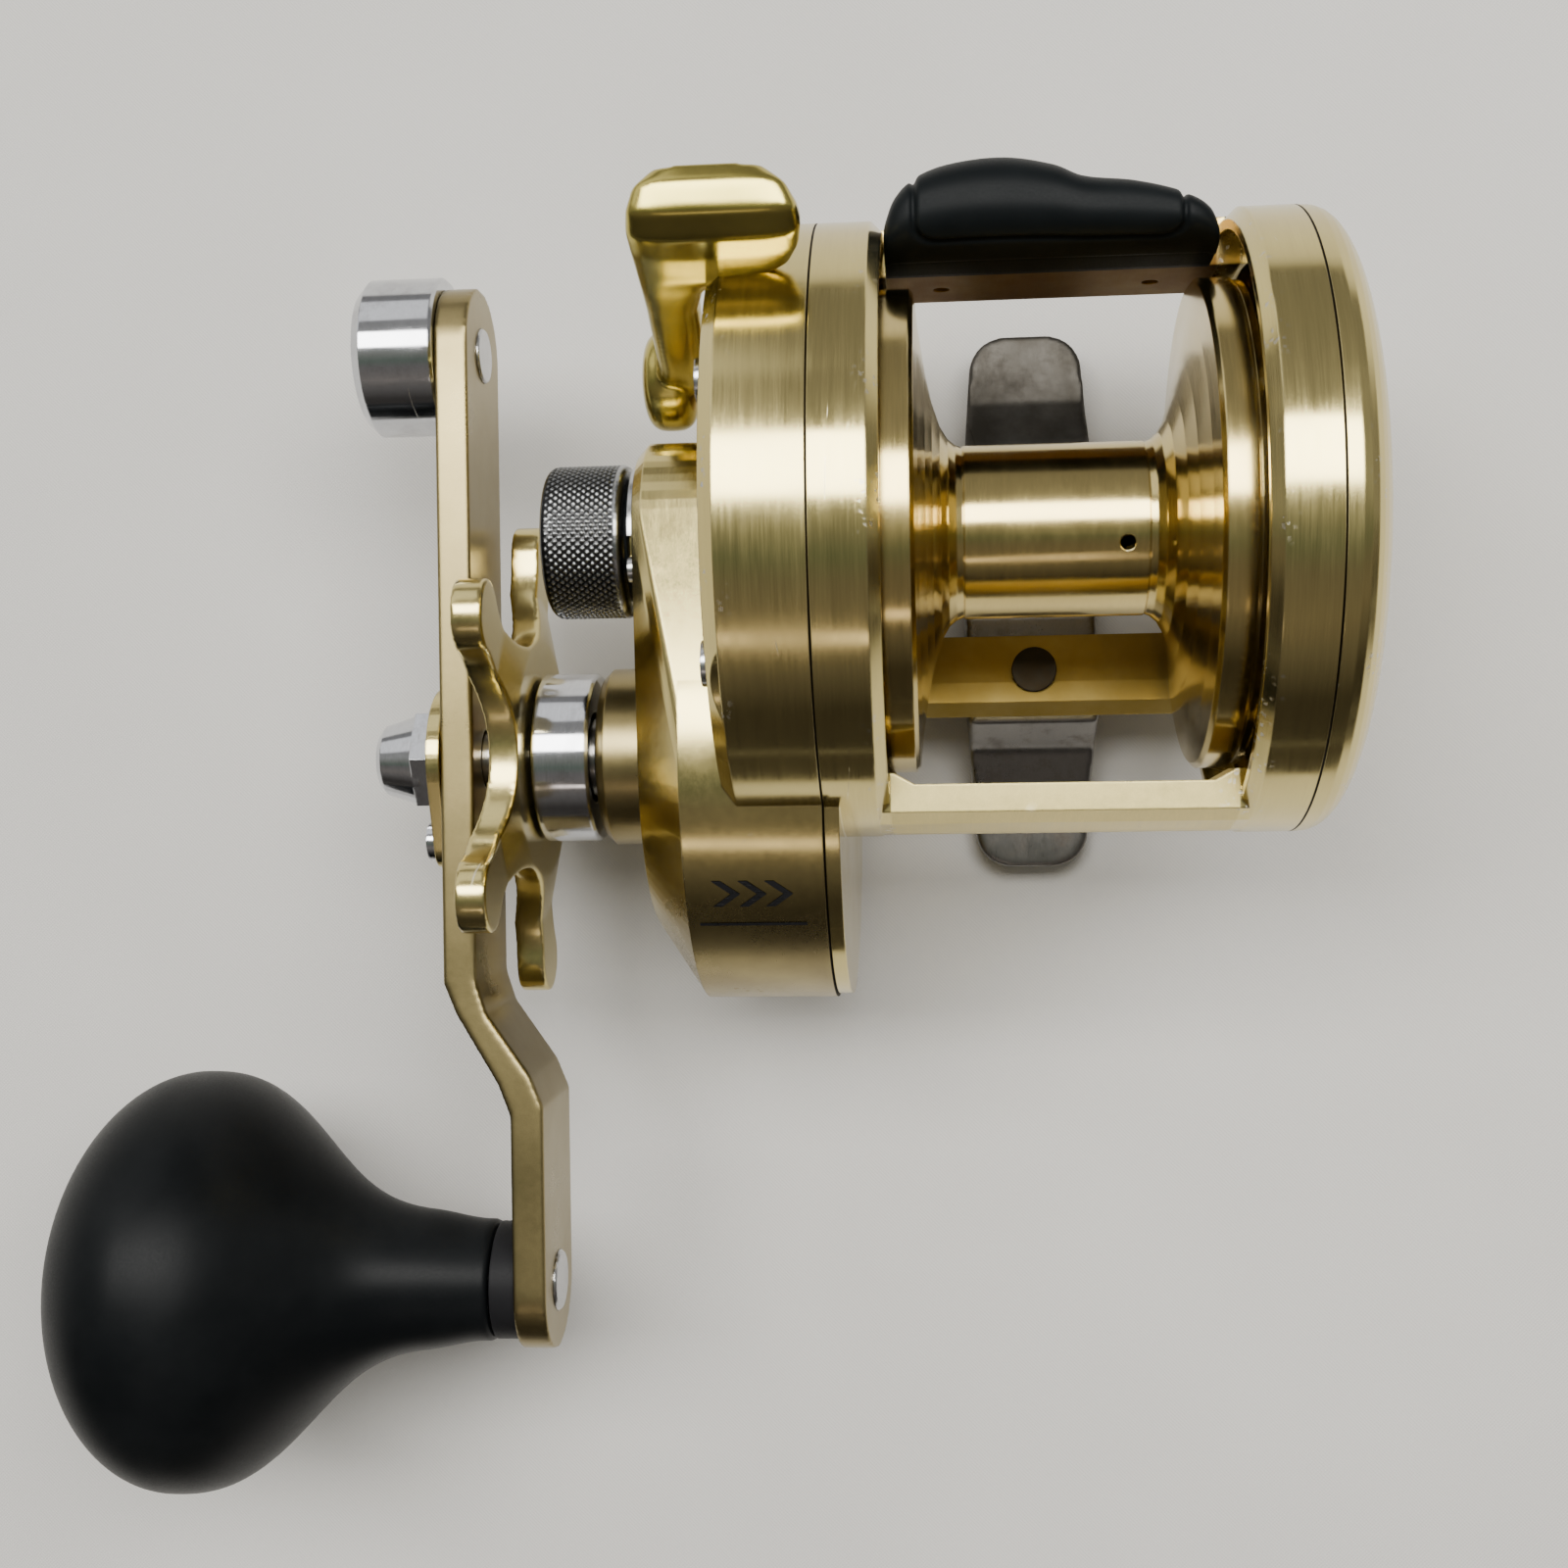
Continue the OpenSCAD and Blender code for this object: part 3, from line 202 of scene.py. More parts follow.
class Surface(Graph):
    """A material. Its coordinates are those of the reel, in metres, and base, rough and height are
    its colour, roughness and relief so far, as marks are laid over them."""

    SOCKETS = {"base": "Base Color", "metallic": "Metallic", "rough": "Roughness",
               "specular": "Specular IOR Level", "normal": "Normal"}

    def __init__(self, name):
        self.material = bpy.data.materials.new(name)
        self.material.use_nodes = True
        super().__init__(self.material.node_tree)
        self.shader = self.node("ShaderNodeBsdfPrincipled")
        self.node("ShaderNodeOutputMaterial", {"Surface": self.shader.outputs["BSDF"]})
        self.place = self.node("ShaderNodeTexCoord").outputs["Object"]
        self.x, self.y, self.z = self.parts(self.place)

    def set(self, **values):
        """Sets the shader's sockets, by their short names."""
        for key, value in values.items():
            self.put(self.shader.inputs[self.SOCKETS[key]], value)

    def mark(self, where, tint=None, rougher=0.0, cut=0.0):
        """Lays a tint, more roughness and a hollow over the surface where the mask is 1."""
        if tint:
            self.base = self.mix(where, self.base, tint)
        if rougher:
            self.rough = self.plus(self.rough, self.times(where, rougher))
        if cut:
            self.height = self.math("SUBTRACT", self.height, self.times(where, cut))

    def vector(self, operation, a, b, output="Vector"):
        return self.node("ShaderNodeVectorMath", {0: a, 1: b}, operation=operation).outputs[output]

    def noise(self, scale, place=None, detail=3.0, rough=0.55, distortion=0.0):
        made = self.node("ShaderNodeTexNoise", {
            "Vector": self.place if place is None else place, "Scale": scale, "Detail": detail,
            "Roughness": rough, "Distortion": distortion})
        return made.outputs["Fac"]

    def spots(self, scale, ragged_scale, ragged):
        """Distance from the nearest of many scattered points, made ragged, and each one's shade."""
        cells = self.node("ShaderNodeTexVoronoi", {"Vector": self.place, "Scale": scale})
        wobble = self.times(self.math("SUBTRACT", self.noise(ragged_scale), 0.5), ragged)
        return self.plus(cells.outputs["Distance"], wobble), cells.outputs["Color"]

    def mix(self, amount, a, b):
        made = self.node("ShaderNodeMix", data_type="RGBA")
        self.put(made.inputs["Factor"], amount)
        for socket, value in ((made.inputs[6], a), (made.inputs[7], b)):
            self.put(socket, (*value, 1) if isinstance(value, tuple) else value)
        return made.outputs[2]

    def scaled(self, factors, turn=(0, 0, 0)):
        made = self.node("ShaderNodeMapping",
                         {"Vector": self.place, "Scale": factors, "Rotation": turn})
        return made.outputs["Vector"]

    def turned(self, axis):
        """Coordinates that draw grain out round an axis parallel to X: x, radius, some angle."""
        metres_per_radian = 0.0008
        x, y, z = self.parts(self.vector("SUBTRACT", self.place, (0, axis.y, axis.z)))
        radius = self.math("SQRT", self.plus(self.times(y, y), self.times(z, z)))
        angle = self.times(self.math("ARCTAN2", y, z), metres_per_radian)
        return self.node("ShaderNodeCombineXYZ", {0: x, 1: radius, 2: angle}).outputs[0]

    def bump(self, height, distance, strength, normal=None):
        inputs = {"Height": height, "Distance": distance, "Strength": strength}
        if normal is not None:
            inputs["Normal"] = normal
        return self.node("ShaderNodeBump", inputs).outputs["Normal"]

    def edges(self, radius):
        """Rounded normal near edges, and a mask that is 1 on the edges themselves."""
        soft = self.node("ShaderNodeBevel", {"Radius": radius}, samples=4).outputs["Normal"]
        plain = self.node("ShaderNodeNewGeometry").outputs["Normal"]
        likeness = self.vector("DOT_PRODUCT", soft, plain, "Value")
        return soft, self.range(likeness, 0.97, 0.80)


# ---- Camera and light ----

def add_camera():
    """Looks straight down, with a slight roll and yaw."""
    data = bpy.data.cameras.new("camera")
    data.lens = 42.72
    data.sensor_width = 36
    data.clip_start = 0.01
    camera = bpy.data.objects.new("camera", data)
    bpy.context.scene.collection.objects.link(camera)
    roll = Matrix.Rotation(0.015, 3, "Z")
    yaw = Matrix.Rotation(-0.086, 3, "Y")
    camera.matrix_world = (roll @ yaw).transposed().to_4x4()
    camera.location = (-9.61 * MM, -19.91 * MM, 210.35 * MM)
    bpy.context.scene.camera = camera


def area_light(name, lean, side, distance, size, power, colour=(1, 1, 1)):
    """A soft rectangular light that looks at the spool. It lies back from straight up by an angle
    in degrees, and sideways by a share."""
    data = bpy.data.lights.new(name, "AREA")
    data.shape = "RECTANGLE"
    data.size, data.size_y = size
    data.energy = power
    data.color = colour
    light = bpy.data.objects.new(name, data)
    bpy.context.scene.collection.objects.link(light)
    angle = math.radians(lean)
    direction = Vector((side, math.sin(angle), math.cos(angle))).normalized()
    light.location = SPOOL_AXIS + direction * distance
    light.rotation_euler = direction.to_track_quat("Z", "Y").to_euler()


# The room's own light: degrees back from straight up, and the colour that comes from there
ROOM_STRENGTH = 0.5
ROOM = [(-180, 0.30, 0.30, 0.30), (-100, 0.12, 0.11, 0.10), (-72, 0.10, 0.09, 0.08),
        (-55, 0.27, 0.25, 0.23), (-40, 0.40, 0.36, 0.32), (-24, 0.33, 0.31, 0.29),
        (-14, 0.26, 0.32, 0.26), (-6, 0.42, 0.44, 0.38), (10, 0.72, 0.72, 0.68),
        (40, 0.62, 0.61, 0.59), (85, 0.52, 0.51, 0.50), (180, 0.30, 0.30, 0.30)]


def add_room():
    world = bpy.data.worlds.new("room")
    bpy.context.scene.world = world
    world.use_nodes = True
    g = Graph(world.node_tree)
    _, y, z = g.parts(g.node("ShaderNodeTexCoord").outputs["Generated"])
    turn = g.range(g.math("ARCTAN2", y, z), -math.pi, math.pi)
    ramp = g.node("ShaderNodeValToRGB", {"Fac": turn})
    elements = ramp.color_ramp.elements
    while len(elements) < len(ROOM):
        elements.new(0.5)
    for element, (degrees, red, green, blue) in zip(elements, ROOM):
        element.position = (degrees + 180) / 360
        element.color = (red, green, blue, 1)
    glow = g.node("ShaderNodeBackground", {"Color": ramp.outputs["Color"],
                                           "Strength": ROOM_STRENGTH})
    g.node("ShaderNodeOutputWorld", {"Surface": glow.outputs[0]})


def add_lights():
    area_light("ceiling", 18, 0.0, 0.75, (1.1, 0.30), 13.0, (1, 0.985, 0.95))
    area_light("window", -43, -0.1, 0.7, (0.30, 0.05), 0.09, (1, 0.86, 0.76))
    area_light("fill", 58, -0.7, 0.9, (0.9, 0.5), 1.2)
    add_room()


# ---- Finishes ----

def darker(tint, share):
    return tuple(c * share for c in tint)


def add_dirt(g, strength):
    """Patches of brown grime."""
    grime = g.range(g.noise(260, detail=6.0, rough=0.7), 0.5, 0.72)
    g.mark(g.times(grime, strength), GRIME, rougher=0.25)


def add_scratches(g, strength):
    """Thin curved hairlines in a few directions, paler and rougher than the metal round them."""
    bare_share = 0.62
    total = 0.0
    for i, (turn, scale) in enumerate([(0.4, 46), (1.3, 60), (2.3, 38)]):
        drawn_out = g.scaled((1.0, 0.22, 0.6), (turn, turn * 0.7, turn))
        line = g.near(g.noise(scale, drawn_out, detail=1.0, distortion=0.4), 0.5, 0.0022)
        patches = g.range(g.noise(95 + 23 * i), bare_share, bare_share + 0.06)
        total = g.math("MAXIMUM", total, g.times(line, patches))
    g.mark(g.times(total, strength), SCRATCH)
    g.mark(total, rougher=0.25, cut=0.8)


def add_nicks(g, strength, rim, wear):
    """Clusters of bare chips on the edges, and near the places along X that wear lists."""
    for place in wear:
        rim = g.math("MAXIMUM", rim, g.near(g.x, place, 2.4 * MM, 0.3 * MM))
    ragged, _ = g.spots(1300, 3500, 0.9)
    clusters = g.range(g.noise(150, detail=2.0), 0.53, 0.60)
    chips = g.times(g.range(ragged, 0.30, 0.20), clusters, rim, strength)
    g.mark(chips, BARE_METAL, rougher=0.25, cut=2.5)


def add_dark_patch(g, low, high, fade, tint):
    """A patchy darker tint inside a box, which is painted shade where its list marks it so."""
    inside = [g.within(spot, a * MM, b * MM, fade * MM)
              for spot, a, b in zip((g.x, g.y, g.z), low, high)]
    patches = g.range(g.noise(160, detail=5.0), 0.25, 0.6, 0.75, 1.0)
    g.mark(g.times(*inside, patches), tint, rougher=0.12)


def metal(name, tint, rough, axis=None, streak=(1, 1, 1), grain=0.5, blast=0.0, dirt=0.0,
          scratches=0.0, nicks=0.0, wear=(), edge_wear_and_highlight_tint=None, satin=None, dark_patches=(), groove=None,
          seams=(), depth=0.003 * MM):
    """Machined metal. Its grain is turned about the axis, if there is one, or drawn out by streak.
    grain, blast, dirt, scratches and nicks are how strong each is. wear is places along X with
    chipped rims, satin is a stretch of X with a duller finish, groove is two radii between which
    it darkens with painted shade, seams are places along X with a dark joint line, and depth is that
    of its relief."""
    g = Surface(name)
    grain_place = g.scaled(streak) if axis is None else g.turned(axis)
    fine = g.noise(9000, grain_place, detail=2.0)
    broad = g.noise(1400, grain_place, detail=2.0)
    smudge = g.noise(90, detail=4.0)
    lines = g.plus(g.times(fine, 0.6), g.times(broad, 0.4))
    g.rough = g.plus(rough, g.times(g.math("SUBTRACT", lines, 0.5), 0.25 * grain),
                     g.range(smudge, 0.3, 0.75, -0.03, 0.07))
    g.base = g.mix(g.range(lines, 0.3, 0.7), darker(tint, 0.86), tint)
    g.height = g.times(lines, grain)
    g.mark(g.range(smudge, 0.45, 0.8, 0.0, 0.3), darker(tint, 0.8))
    if blast:
        g.height = g.plus(g.height, g.times(g.noise(4200), blast))
    if dirt:
        add_dirt(g, dirt)
    if scratches:
        add_scratches(g, scratches)
    soft, rim = g.edges(0.25 * MM)
    if nicks:
        add_nicks(g, nicks, rim, wear)
    # Paler, smoother edges: partly worn rims, partly a painted highlight along the edges
    pale_edges = g.times(rim, g.range(g.noise(420, detail=4.0), 0.3, 0.65, 0.25, 1.0))
    g.mark(pale_edges, edge_wear_and_highlight_tint or tuple(min(1.0, c * 1.12) for c in tint), rougher=-0.05)
    if satin:
        g.mark(g.within(g.x, *satin, 0.2 * MM), rougher=0.20)
    # Patchy darker tints in boxes, some of them painted shade
    for patch in dark_patches:
        add_dark_patch(g, *patch)
    if groove:
        dark, bright = groove
        radius = g.parts(grain_place)[1]
        # Painted shade in the knurl's grooves, deepest at their floors, but not on the end face inside
        # them
        g.mark(g.times(g.range(radius, bright, dark),
                       g.range(radius, dark - 0.4 * MM, dark - 0.2 * MM)), GROOVE_SHADE)
    for seam in seams:
        g.mark(g.near(g.x, seam, 0.13 * MM, 0.08 * MM), SEAM_DARK, rougher=0.4)
    g.set(base=g.base, metallic=1.0, rough=g.math("MAXIMUM", g.rough, 0.04),
          normal=g.bump(g.height, depth, 0.6, soft))
    return g.material


def plastic(name, tint, rough, grain_scale, grain_depth, chipped=False):
    """Moulded plastic or rubber: fine grain, haze, paler scuffed edges and perhaps pale chips."""
    g = Surface(name)
    grain = g.noise(grain_scale, detail=4.0, rough=0.6)
    haze = g.noise(70, detail=4.0)
    g.rough = g.plus(rough, g.range(haze, 0.3, 0.75, -0.05, 0.08),
                     g.range(grain, 0.35, 0.65, -0.04, 0.04))
    g.base = g.mix(g.range(haze, 0.4, 0.75, 0.0, 0.6), tint, tuple(c * 1.6 + 0.004 for c in tint))
    g.height = grain
    soft, rim = g.edges(0.3 * MM)
    pale_edges = g.times(rim, g.range(g.noise(500, detail=4.0), 0.45, 0.7, 0.0, 0.5))
    g.mark(pale_edges, tuple(c * 3 + 0.03 for c in tint))
    if chipped:
        ragged, shade = g.spots(95, 900, 0.10)
        g.mark(g.times(g.range(ragged, 0.085, 0.06), g.range(shade, 0.80, 0.82)), CHIP, cut=2.0)
    g.set(base=g.base, metallic=0.0, rough=g.rough, specular=0.10,
          normal=g.bump(g.height, grain_depth, 0.7, soft))
    return g.material


def slot_materials():
    """One finished material for each material slot of the record."""
    return {
        "gold_frame": metal("gold_frame", GOLD, 0.13, SPOOL_AXIS, grain=0.7, scratches=0.5, nicks=0.7,
                            wear=BAR_SPAN, edge_wear_and_highlight_tint=PALE_GOLD, satin=BAR_SPAN, dark_patches=FRAME_DARK_PATCHES,
                            seams=SEAMS),
        "gold_plate": metal("gold_plate", GOLD, 0.17, SPOOL_AXIS, grain=0.7, scratches=0.9, nicks=1.0,
                            wear=COVER_RIMS, edge_wear_and_highlight_tint=PALE_GOLD, dark_patches=PLATE_SHADE, seams=SEAMS),
        "gold_satin": metal("gold_satin", SATIN_GOLD, 0.30, grain=0.3, blast=1.6, scratches=0.35,
                            edge_wear_and_highlight_tint=PALE_GOLD, depth=0.004 * MM),
        "gold_spool": metal("gold_spool", DEEP_GOLD, 0.15, SPOOL_AXIS, grain=0.6, edge_wear_and_highlight_tint=PALE_GOLD),
        "gold_lever": metal("gold_lever", OLIVE_GOLD, 0.20, grain=0.15, nicks=1.0, scratches=0.3,
                            edge_wear_and_highlight_tint=PALE_OLIVE),
        "foot_metal": metal("foot_metal", FOOT_GREY, 0.30, streak=(1, 0.12, 1), grain=0.8, dirt=0.5,
                            scratches=0.4, edge_wear_and_highlight_tint=FOOT_EDGE, dark_patches=FOOT_SHADE),
        "rivet_dark": metal("rivet_dark", RIVET_BROWN, 0.45, grain=0.4, dirt=0.7),
        "steel_bright": metal("steel_bright", STEEL, 0.20, grain=0.3, dirt=0.15),
        "bearing_steel": metal("bearing_steel", STEEL, 0.18, grain=0.4),
        "chrome": metal("chrome", CHROME, 0.07, SHAFT_AXIS, grain=0.12, scratches=0.4, dirt=0.25),
        "knurled_chrome": metal("knurled_chrome", SHADED_CHROME, 0.20, SPOOL_AXIS, grain=0.2, dirt=0.2,
                                groove=CAST_GROOVE_SHADE),
        "brass": metal("brass", BRASS, 0.28, SPOOL_AXIS, grain=0.7, dirt=0.15),
        "drag_fibre": plastic("drag_fibre", FIBRE, 0.7, 2600, 0.02 * MM),
        "rubber_black": plastic("rubber_black", RUBBER, 0.50, 5200, 0.006 * MM),
        "plastic_black": plastic("plastic_black", BLACK, 0.45, 4000, 0.008 * MM),
        "knob_black": plastic("knob_black", KNOB_BLACK, 0.40, 4800, 0.006 * MM, chipped=True),
        "brake_plastic": plastic("brake_plastic", BRAKE_WHITE, 0.45, 3000, 0.006 * MM),
        "brake_red": plastic("brake_red", BRAKE_RED, 0.40, 3000, 0.006 * MM),
    }


def give_materials():
    """Finishes every CAD node as its slot says, and returns the materials by slot."""
    materials = slot_materials()
    for part in frame["record"]["subparts"]:
        mesh = frame["nodes"][part["node"]].data
        mesh.materials.clear()
        mesh.materials.append(materials[part["material_slot"]])
    return materials


# ---- Floor ----

def cloth_material():
    """Pale cotton cloth with a fine weave, soft ripples and painted shade darkening one corner."""
    g = Surface("floor_cloth")
    radians_per_metre = 15000.0
    warp = g.math("SINE", g.times(g.x, radians_per_metre))
    weft = g.math("SINE", g.times(g.y, radians_per_metre))
    ripple = g.times(g.noise(22), 6.0)
    g.base = g.mix(g.range(g.noise(14, detail=4.0), 0.3, 0.7), CLOTH_CLOUD, CLOTH)
    # Painted shade towards one corner
    corner = g.math("SUBTRACT", g.x, g.y)
    g.mark(g.range(corner, 0.10, -0.16, 0.0, 0.28), CLOTH_CORNER_SHADE)
    g.set(base=g.base, rough=0.95, specular=0.15,
          normal=g.bump(g.plus(g.times(warp, weft), ripple), 0.04 * MM, 0.35))
    return g.material


def add_plane(name, size, place, material, rotation=(0, 0, 0)):
    """A flat square."""
    bpy.ops.mesh.primitive_plane_add(size=size, rotation=rotation, location=place)
    plane = bpy.context.active_object
    plane.name = name
    plane.data.materials.append(material)
    return plane


def add_floor():
    """The cloth, and a low dark card in front of the reel that only reflections see: a painted dark
    reflection for the dark beyond the cloth.
    """
    floor_height = cad_bounds[0][2]
    g = Surface("dark_card")
    g.set(base=DARK_REFLECTION_CARD, rough=0.9)
    card_width, card_height, card_middle, card_front = 1.2, 0.046, 0.024, -0.17
    card = add_plane("dark_card", 1.0, (0, card_front, floor_height + card_middle), g.material,
                     (math.radians(90), 0, 0))
    card.scale = (card_width, card_height, 1)
    card.visible_camera = False
    card.visible_diffuse = False
    card.visible_shadow = False
    add_plane("floor", 4.0, (0, 0, floor_height - 0.02 * MM), cloth_material())


# ---- Meshes ----

def signed_power(value, power):
    return math.copysign(abs(value) ** power, value)


def smooth_step(t):
    t = min(1.0, max(0.0, t))
    return t * t * (3 - 2 * t)


def through(points, x):
    """Height at x of a smooth line through a few points."""
    for (xa, ya), (xb, yb) in zip(points, points[1:]):
        if x <= xb:
            before = next((p for p in reversed(points) if p[0] < xa), (xa, ya))
            after = next((p for p in points if p[0] > xb), (xb, yb))
            slope_a = (yb - before[1]) / (xb - before[0])
            slope_b = (after[1] - ya) / (after[0] - xa)
            h = xb - xa
            t = (x - xa) / h
            return ((2 * t ** 3 - 3 * t ** 2 + 1) * ya + (t ** 3 - 2 * t ** 2 + t) * h * slope_a
                    + (3 * t ** 2 - 2 * t ** 3) * yb + (t ** 3 - t ** 2) * h * slope_b)
    return points[-1][1]


def ring_faces(first, rings, segments):
    """Faces that join rings of vertices, one after another from vertex first."""
    faces = []
    for row in range(first, first + (rings - 1) * segments, segments):
        for i in range(segments):
            k = (i + 1) % segments
            faces.append((row + i, row + k, row + segments + k, row + segments + i))
    return faces


def end_faces(first, rings, segments):
    """Faces that close the first and the last of such rings."""
    last = first + (rings - 1) * segments
    return [tuple(range(first, first + segments)), tuple(range(last, last + segments))]


def new_piece(name, verts, faces, material, body):
    """A smooth-shaded piece that rides on a body and takes its finish from a material slot."""
    mesh = bpy.data.meshes.new(name)
    mesh.from_pydata(verts, [], faces)
    mesh.validate()
    work = bmesh.new()
    work.from_mesh(mesh)
    bmesh.ops.recalc_face_normals(work, faces=work.faces)
    work.to_mesh(mesh)
    work.free()
    mesh.materials.append(materials[material])
    mesh.shade_smooth()
    piece = bpy.data.objects.new(name, mesh)
    bpy.context.scene.collection.objects.link(piece)
    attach(piece, body)
    return piece


def melt(piece, voxel, rounds):
    """Joins a piece's overlapping solids into one skin and rounds its edges and inner corners."""
    remesh = piece.modifiers.new("remesh", "REMESH")
    remesh.mode = "VOXEL"
    remesh.voxel_size = voxel
    remesh.use_smooth_shade = True
    smooth = piece.modifiers.new("smooth", "SMOOTH")
    smooth.iterations = rounds


def smooth_cast(node, voxel, rounds, material, body):
    """A CAD solid with its edges and joins melted together, as a cast or forged part has them."""
    piece = bpy.data.objects.new(node + "_cast", frame["nodes"][node].data.copy())
    piece.data.materials.clear()
    piece.data.materials.append(materials[material])
    bpy.context.scene.collection.objects.link(piece)
    melt(piece, voxel, rounds)
    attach(piece, body)
    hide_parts(node)


def lathe(name, outline, axis, material, body, segments=160, relief=None):
    """A turned solid about an axis parallel to X. outline is (x, radius) from end to end, and
    relief(x, radius, angle) is added to the radius."""
    verts = []
    for x, r in outline:
        for i in range(segments):
            a = 2 * math.pi * i / segments
            grown = r + (relief(x, r, a) if relief else 0.0)
            verts.append((x, axis.y + grown * math.sin(a), axis.z + grown * math.cos(a)))
    faces = ring_faces(0, len(outline), segments) + end_faces(0, len(outline), segments)
    return new_piece(name, verts, faces, material, body)


# ---- Clutch lever ----

# The lever's plate from its root up over the rim, in millimetres: lowest and highest X, then the
# middle of its thickness behind and above the pivot
LEVER_PLATE = [(-36.8, -32.2, -0.4, 0.8), (-35.7, -31.2, 0.9, 6.1), (-35.2, -30.5, 3.7, 16.1),
               (-35.1, -29.6, 4.5, 19.4), (-35.1, -28.2, 4.9, 20.9), (-35.1, -24.0, 5.1, 21.9),
               (-35.1, -21.8, 5.5, 23.2), (-35.1, -20.9, 6.1, 25.4), (-35.1, -20.6, 6.8, 27.3),
               (-34.9, -20.8, 7.9, 28.3), (-34.3, -21.6, 9.2, 28.4), (-33.0, -23.2, 10.2, 27.8)]
LEVER_HALF_THICK = 1.9
# From 1 for a round edge down to 0 for a square one
LEVER_EDGE = 0.5


def boss_verts(pivot, rings, segments):
    """The lever's round boss on its shaft, with bulging sides."""
    middle_x, radius, half_width, side = -35.35 * MM, 4.8 * MM, 2.6 * MM, 0.6
    verts = []
    for j in range(rings):
        t = math.pi * (j / (rings - 1) - 0.5)
        reach = radius * max(math.cos(t), 0.0) ** side
        for i in range(segments):
            a = 2 * math.pi * i / segments
            verts.append((middle_x + half_width * signed_power(math.sin(t), side),
                          pivot.y + reach * math.cos(a), pivot.z + reach * math.sin(a)))
    return verts


def plate_verts(pivot, segments):
    """The lever's plate: a rounded outline at each of its stations, square to its run."""
    verts = []
    for j, (x0, x1, y, z) in enumerate(LEVER_PLATE):
        before = LEVER_PLATE[max(j - 1, 0)]
        after = LEVER_PLATE[min(j + 1, len(LEVER_PLATE) - 1)]
        run_y, run_z = after[2] - before[2], after[3] - before[3]
        size = math.hypot(run_y, run_z)
        for i in range(segments):
            a = 2 * math.pi * i / segments
            across = signed_power(math.cos(a), LEVER_EDGE) * (x1 - x0) / 2
            thick = signed_power(math.sin(a), LEVER_EDGE) * LEVER_HALF_THICK
            verts.append((((x0 + x1) / 2 + across) * MM,
                          pivot.y + (y - thick * run_z / size) * MM,
                          pivot.z + (z + thick * run_y / size) * MM))
    return verts


def add_clutch_lever():
    """Thumb lever: a plate that rises from a round boss and bends back into a tab over the rim."""
    pivot = centre("lever_shaft")
    boss_rings, boss_segments, plate_segments = 37, 72, 56
    verts = boss_verts(pivot, boss_rings, boss_segments)
    faces = ring_faces(0, boss_rings, boss_segments)
    first = len(verts)
    verts += plate_verts(pivot, plate_segments)
    faces += ring_faces(first, len(LEVER_PLATE), plate_segments)
    faces += end_faces(first, len(LEVER_PLATE), plate_segments)
    lever = new_piece("thumb_lever", verts, faces, "gold_lever", "lever")
    melt(lever, 0.22 * MM, 18)
    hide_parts("clutch_lever")


# ---- Knobs ----

def add_cast_knob():
    """Cast control knob with a diamond knurl rolled into its side."""
    low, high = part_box("cast_knob")
    outer, inner = low.x, high.x
    radius = CAST_RADIUS
    teeth, pitch = 62, 0.86 * MM
    # Where the knurl starts and ends, from the side's two ends, and how far it takes to deepen
    outer_gap, outer_fade = 0.35 * MM, 0.5 * MM
    inner_gap, inner_fade = 0.75 * MM, 0.4 * MM

    def zigzag(t):
        """From 0 up to 1 and back in each unit of t."""
        return 1 - abs(2 * (t - math.floor(t)) - 1)

    def knurl(x, r, a):
        if r <= 0.8 * radius:
            return 0.0
        fade = min(1.0, max(0.0, (x - outer - outer_gap) / outer_fade),
                   max(0.0, (inner - inner_gap - x) / inner_fade))
        turn = teeth * a / (2 * math.pi)
        diamond = min(zigzag(turn + x / pitch), zigzag(turn - x / pitch))
        return -KNURL_DEPTH * (1 - diamond) * fade

    corner, corner_steps, side_steps = 1.1 * MM, 8, 64
    outline = [(outer, 0.4 * radius), (outer, radius - corner - 0.6 * MM)]
    for i in range(corner_steps + 1):
        a = math.radians(90 * i / corner_steps)
        outline.append((outer + corner * (1 - math.cos(a)), radius - corner * (1 - math.sin(a))))
    start, end = outer + corner, inner - 0.7 * MM
    for i in range(1, side_steps + 1):
        outline.append((start + (end - start) * i / side_steps, radius))
    outline += [(inner - 0.25 * MM, radius - 0.25 * MM), (inner, radius - 0.75 * MM),
                (inner, 0.86 * radius)]
    knob = lathe("knurled_cast_knob", outline, SPOOL_AXIS, "knurled_chrome", "cast_control",
                 teeth * 6, knurl)
    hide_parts("cast_knob")


def add_handle_knob():
    """Power knob: a flattened ball that flares down to its neck."""
    low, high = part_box("handle_knob")
    radius = box_radius("handle_knob")
    bore, neck, bevel = 4.1 * MM, 6.05 * MM, 0.5 * MM
    # The neck is a little wider above its foot, from swell_length up
    swell, swell_length = 0.7 * MM, 6 * MM
    widest = low.x + 15.9 * MM
    flare = high.x - 1 * MM - widest
    flare_length, flare_power, flare_steps = 14.2 * MM, 2.6, 60
    cap, cap_steps, tip = 13.9 * MM, 48, 0.02 * MM
    outline = [(high.x, bore), (high.x, neck - bevel),
               (high.x - 0.3 * bevel, neck - 0.3 * bevel), (high.x - bevel, neck)]
    for i in range(flare_steps + 1):
        d = flare * (1 - i / flare_steps)
        slim = neck + swell * smooth_step((flare - d) / swell_length)
        wide = math.exp(-(d / flare_length) ** flare_power)
        outline.append((widest + d, slim + (radius - slim) * wide))
    for i in range(1, cap_steps):
        a = math.radians(90 * i / cap_steps)
        outline.append((widest - cap * math.sin(a), radius * math.cos(a)))
    outline.append((widest - cap, tip))
    knob = lathe("power_knob", outline, KNOB_AXIS, "knob_black", "knob")
    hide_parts("handle_knob")


# ---- Thumb rest, in millimetres ----

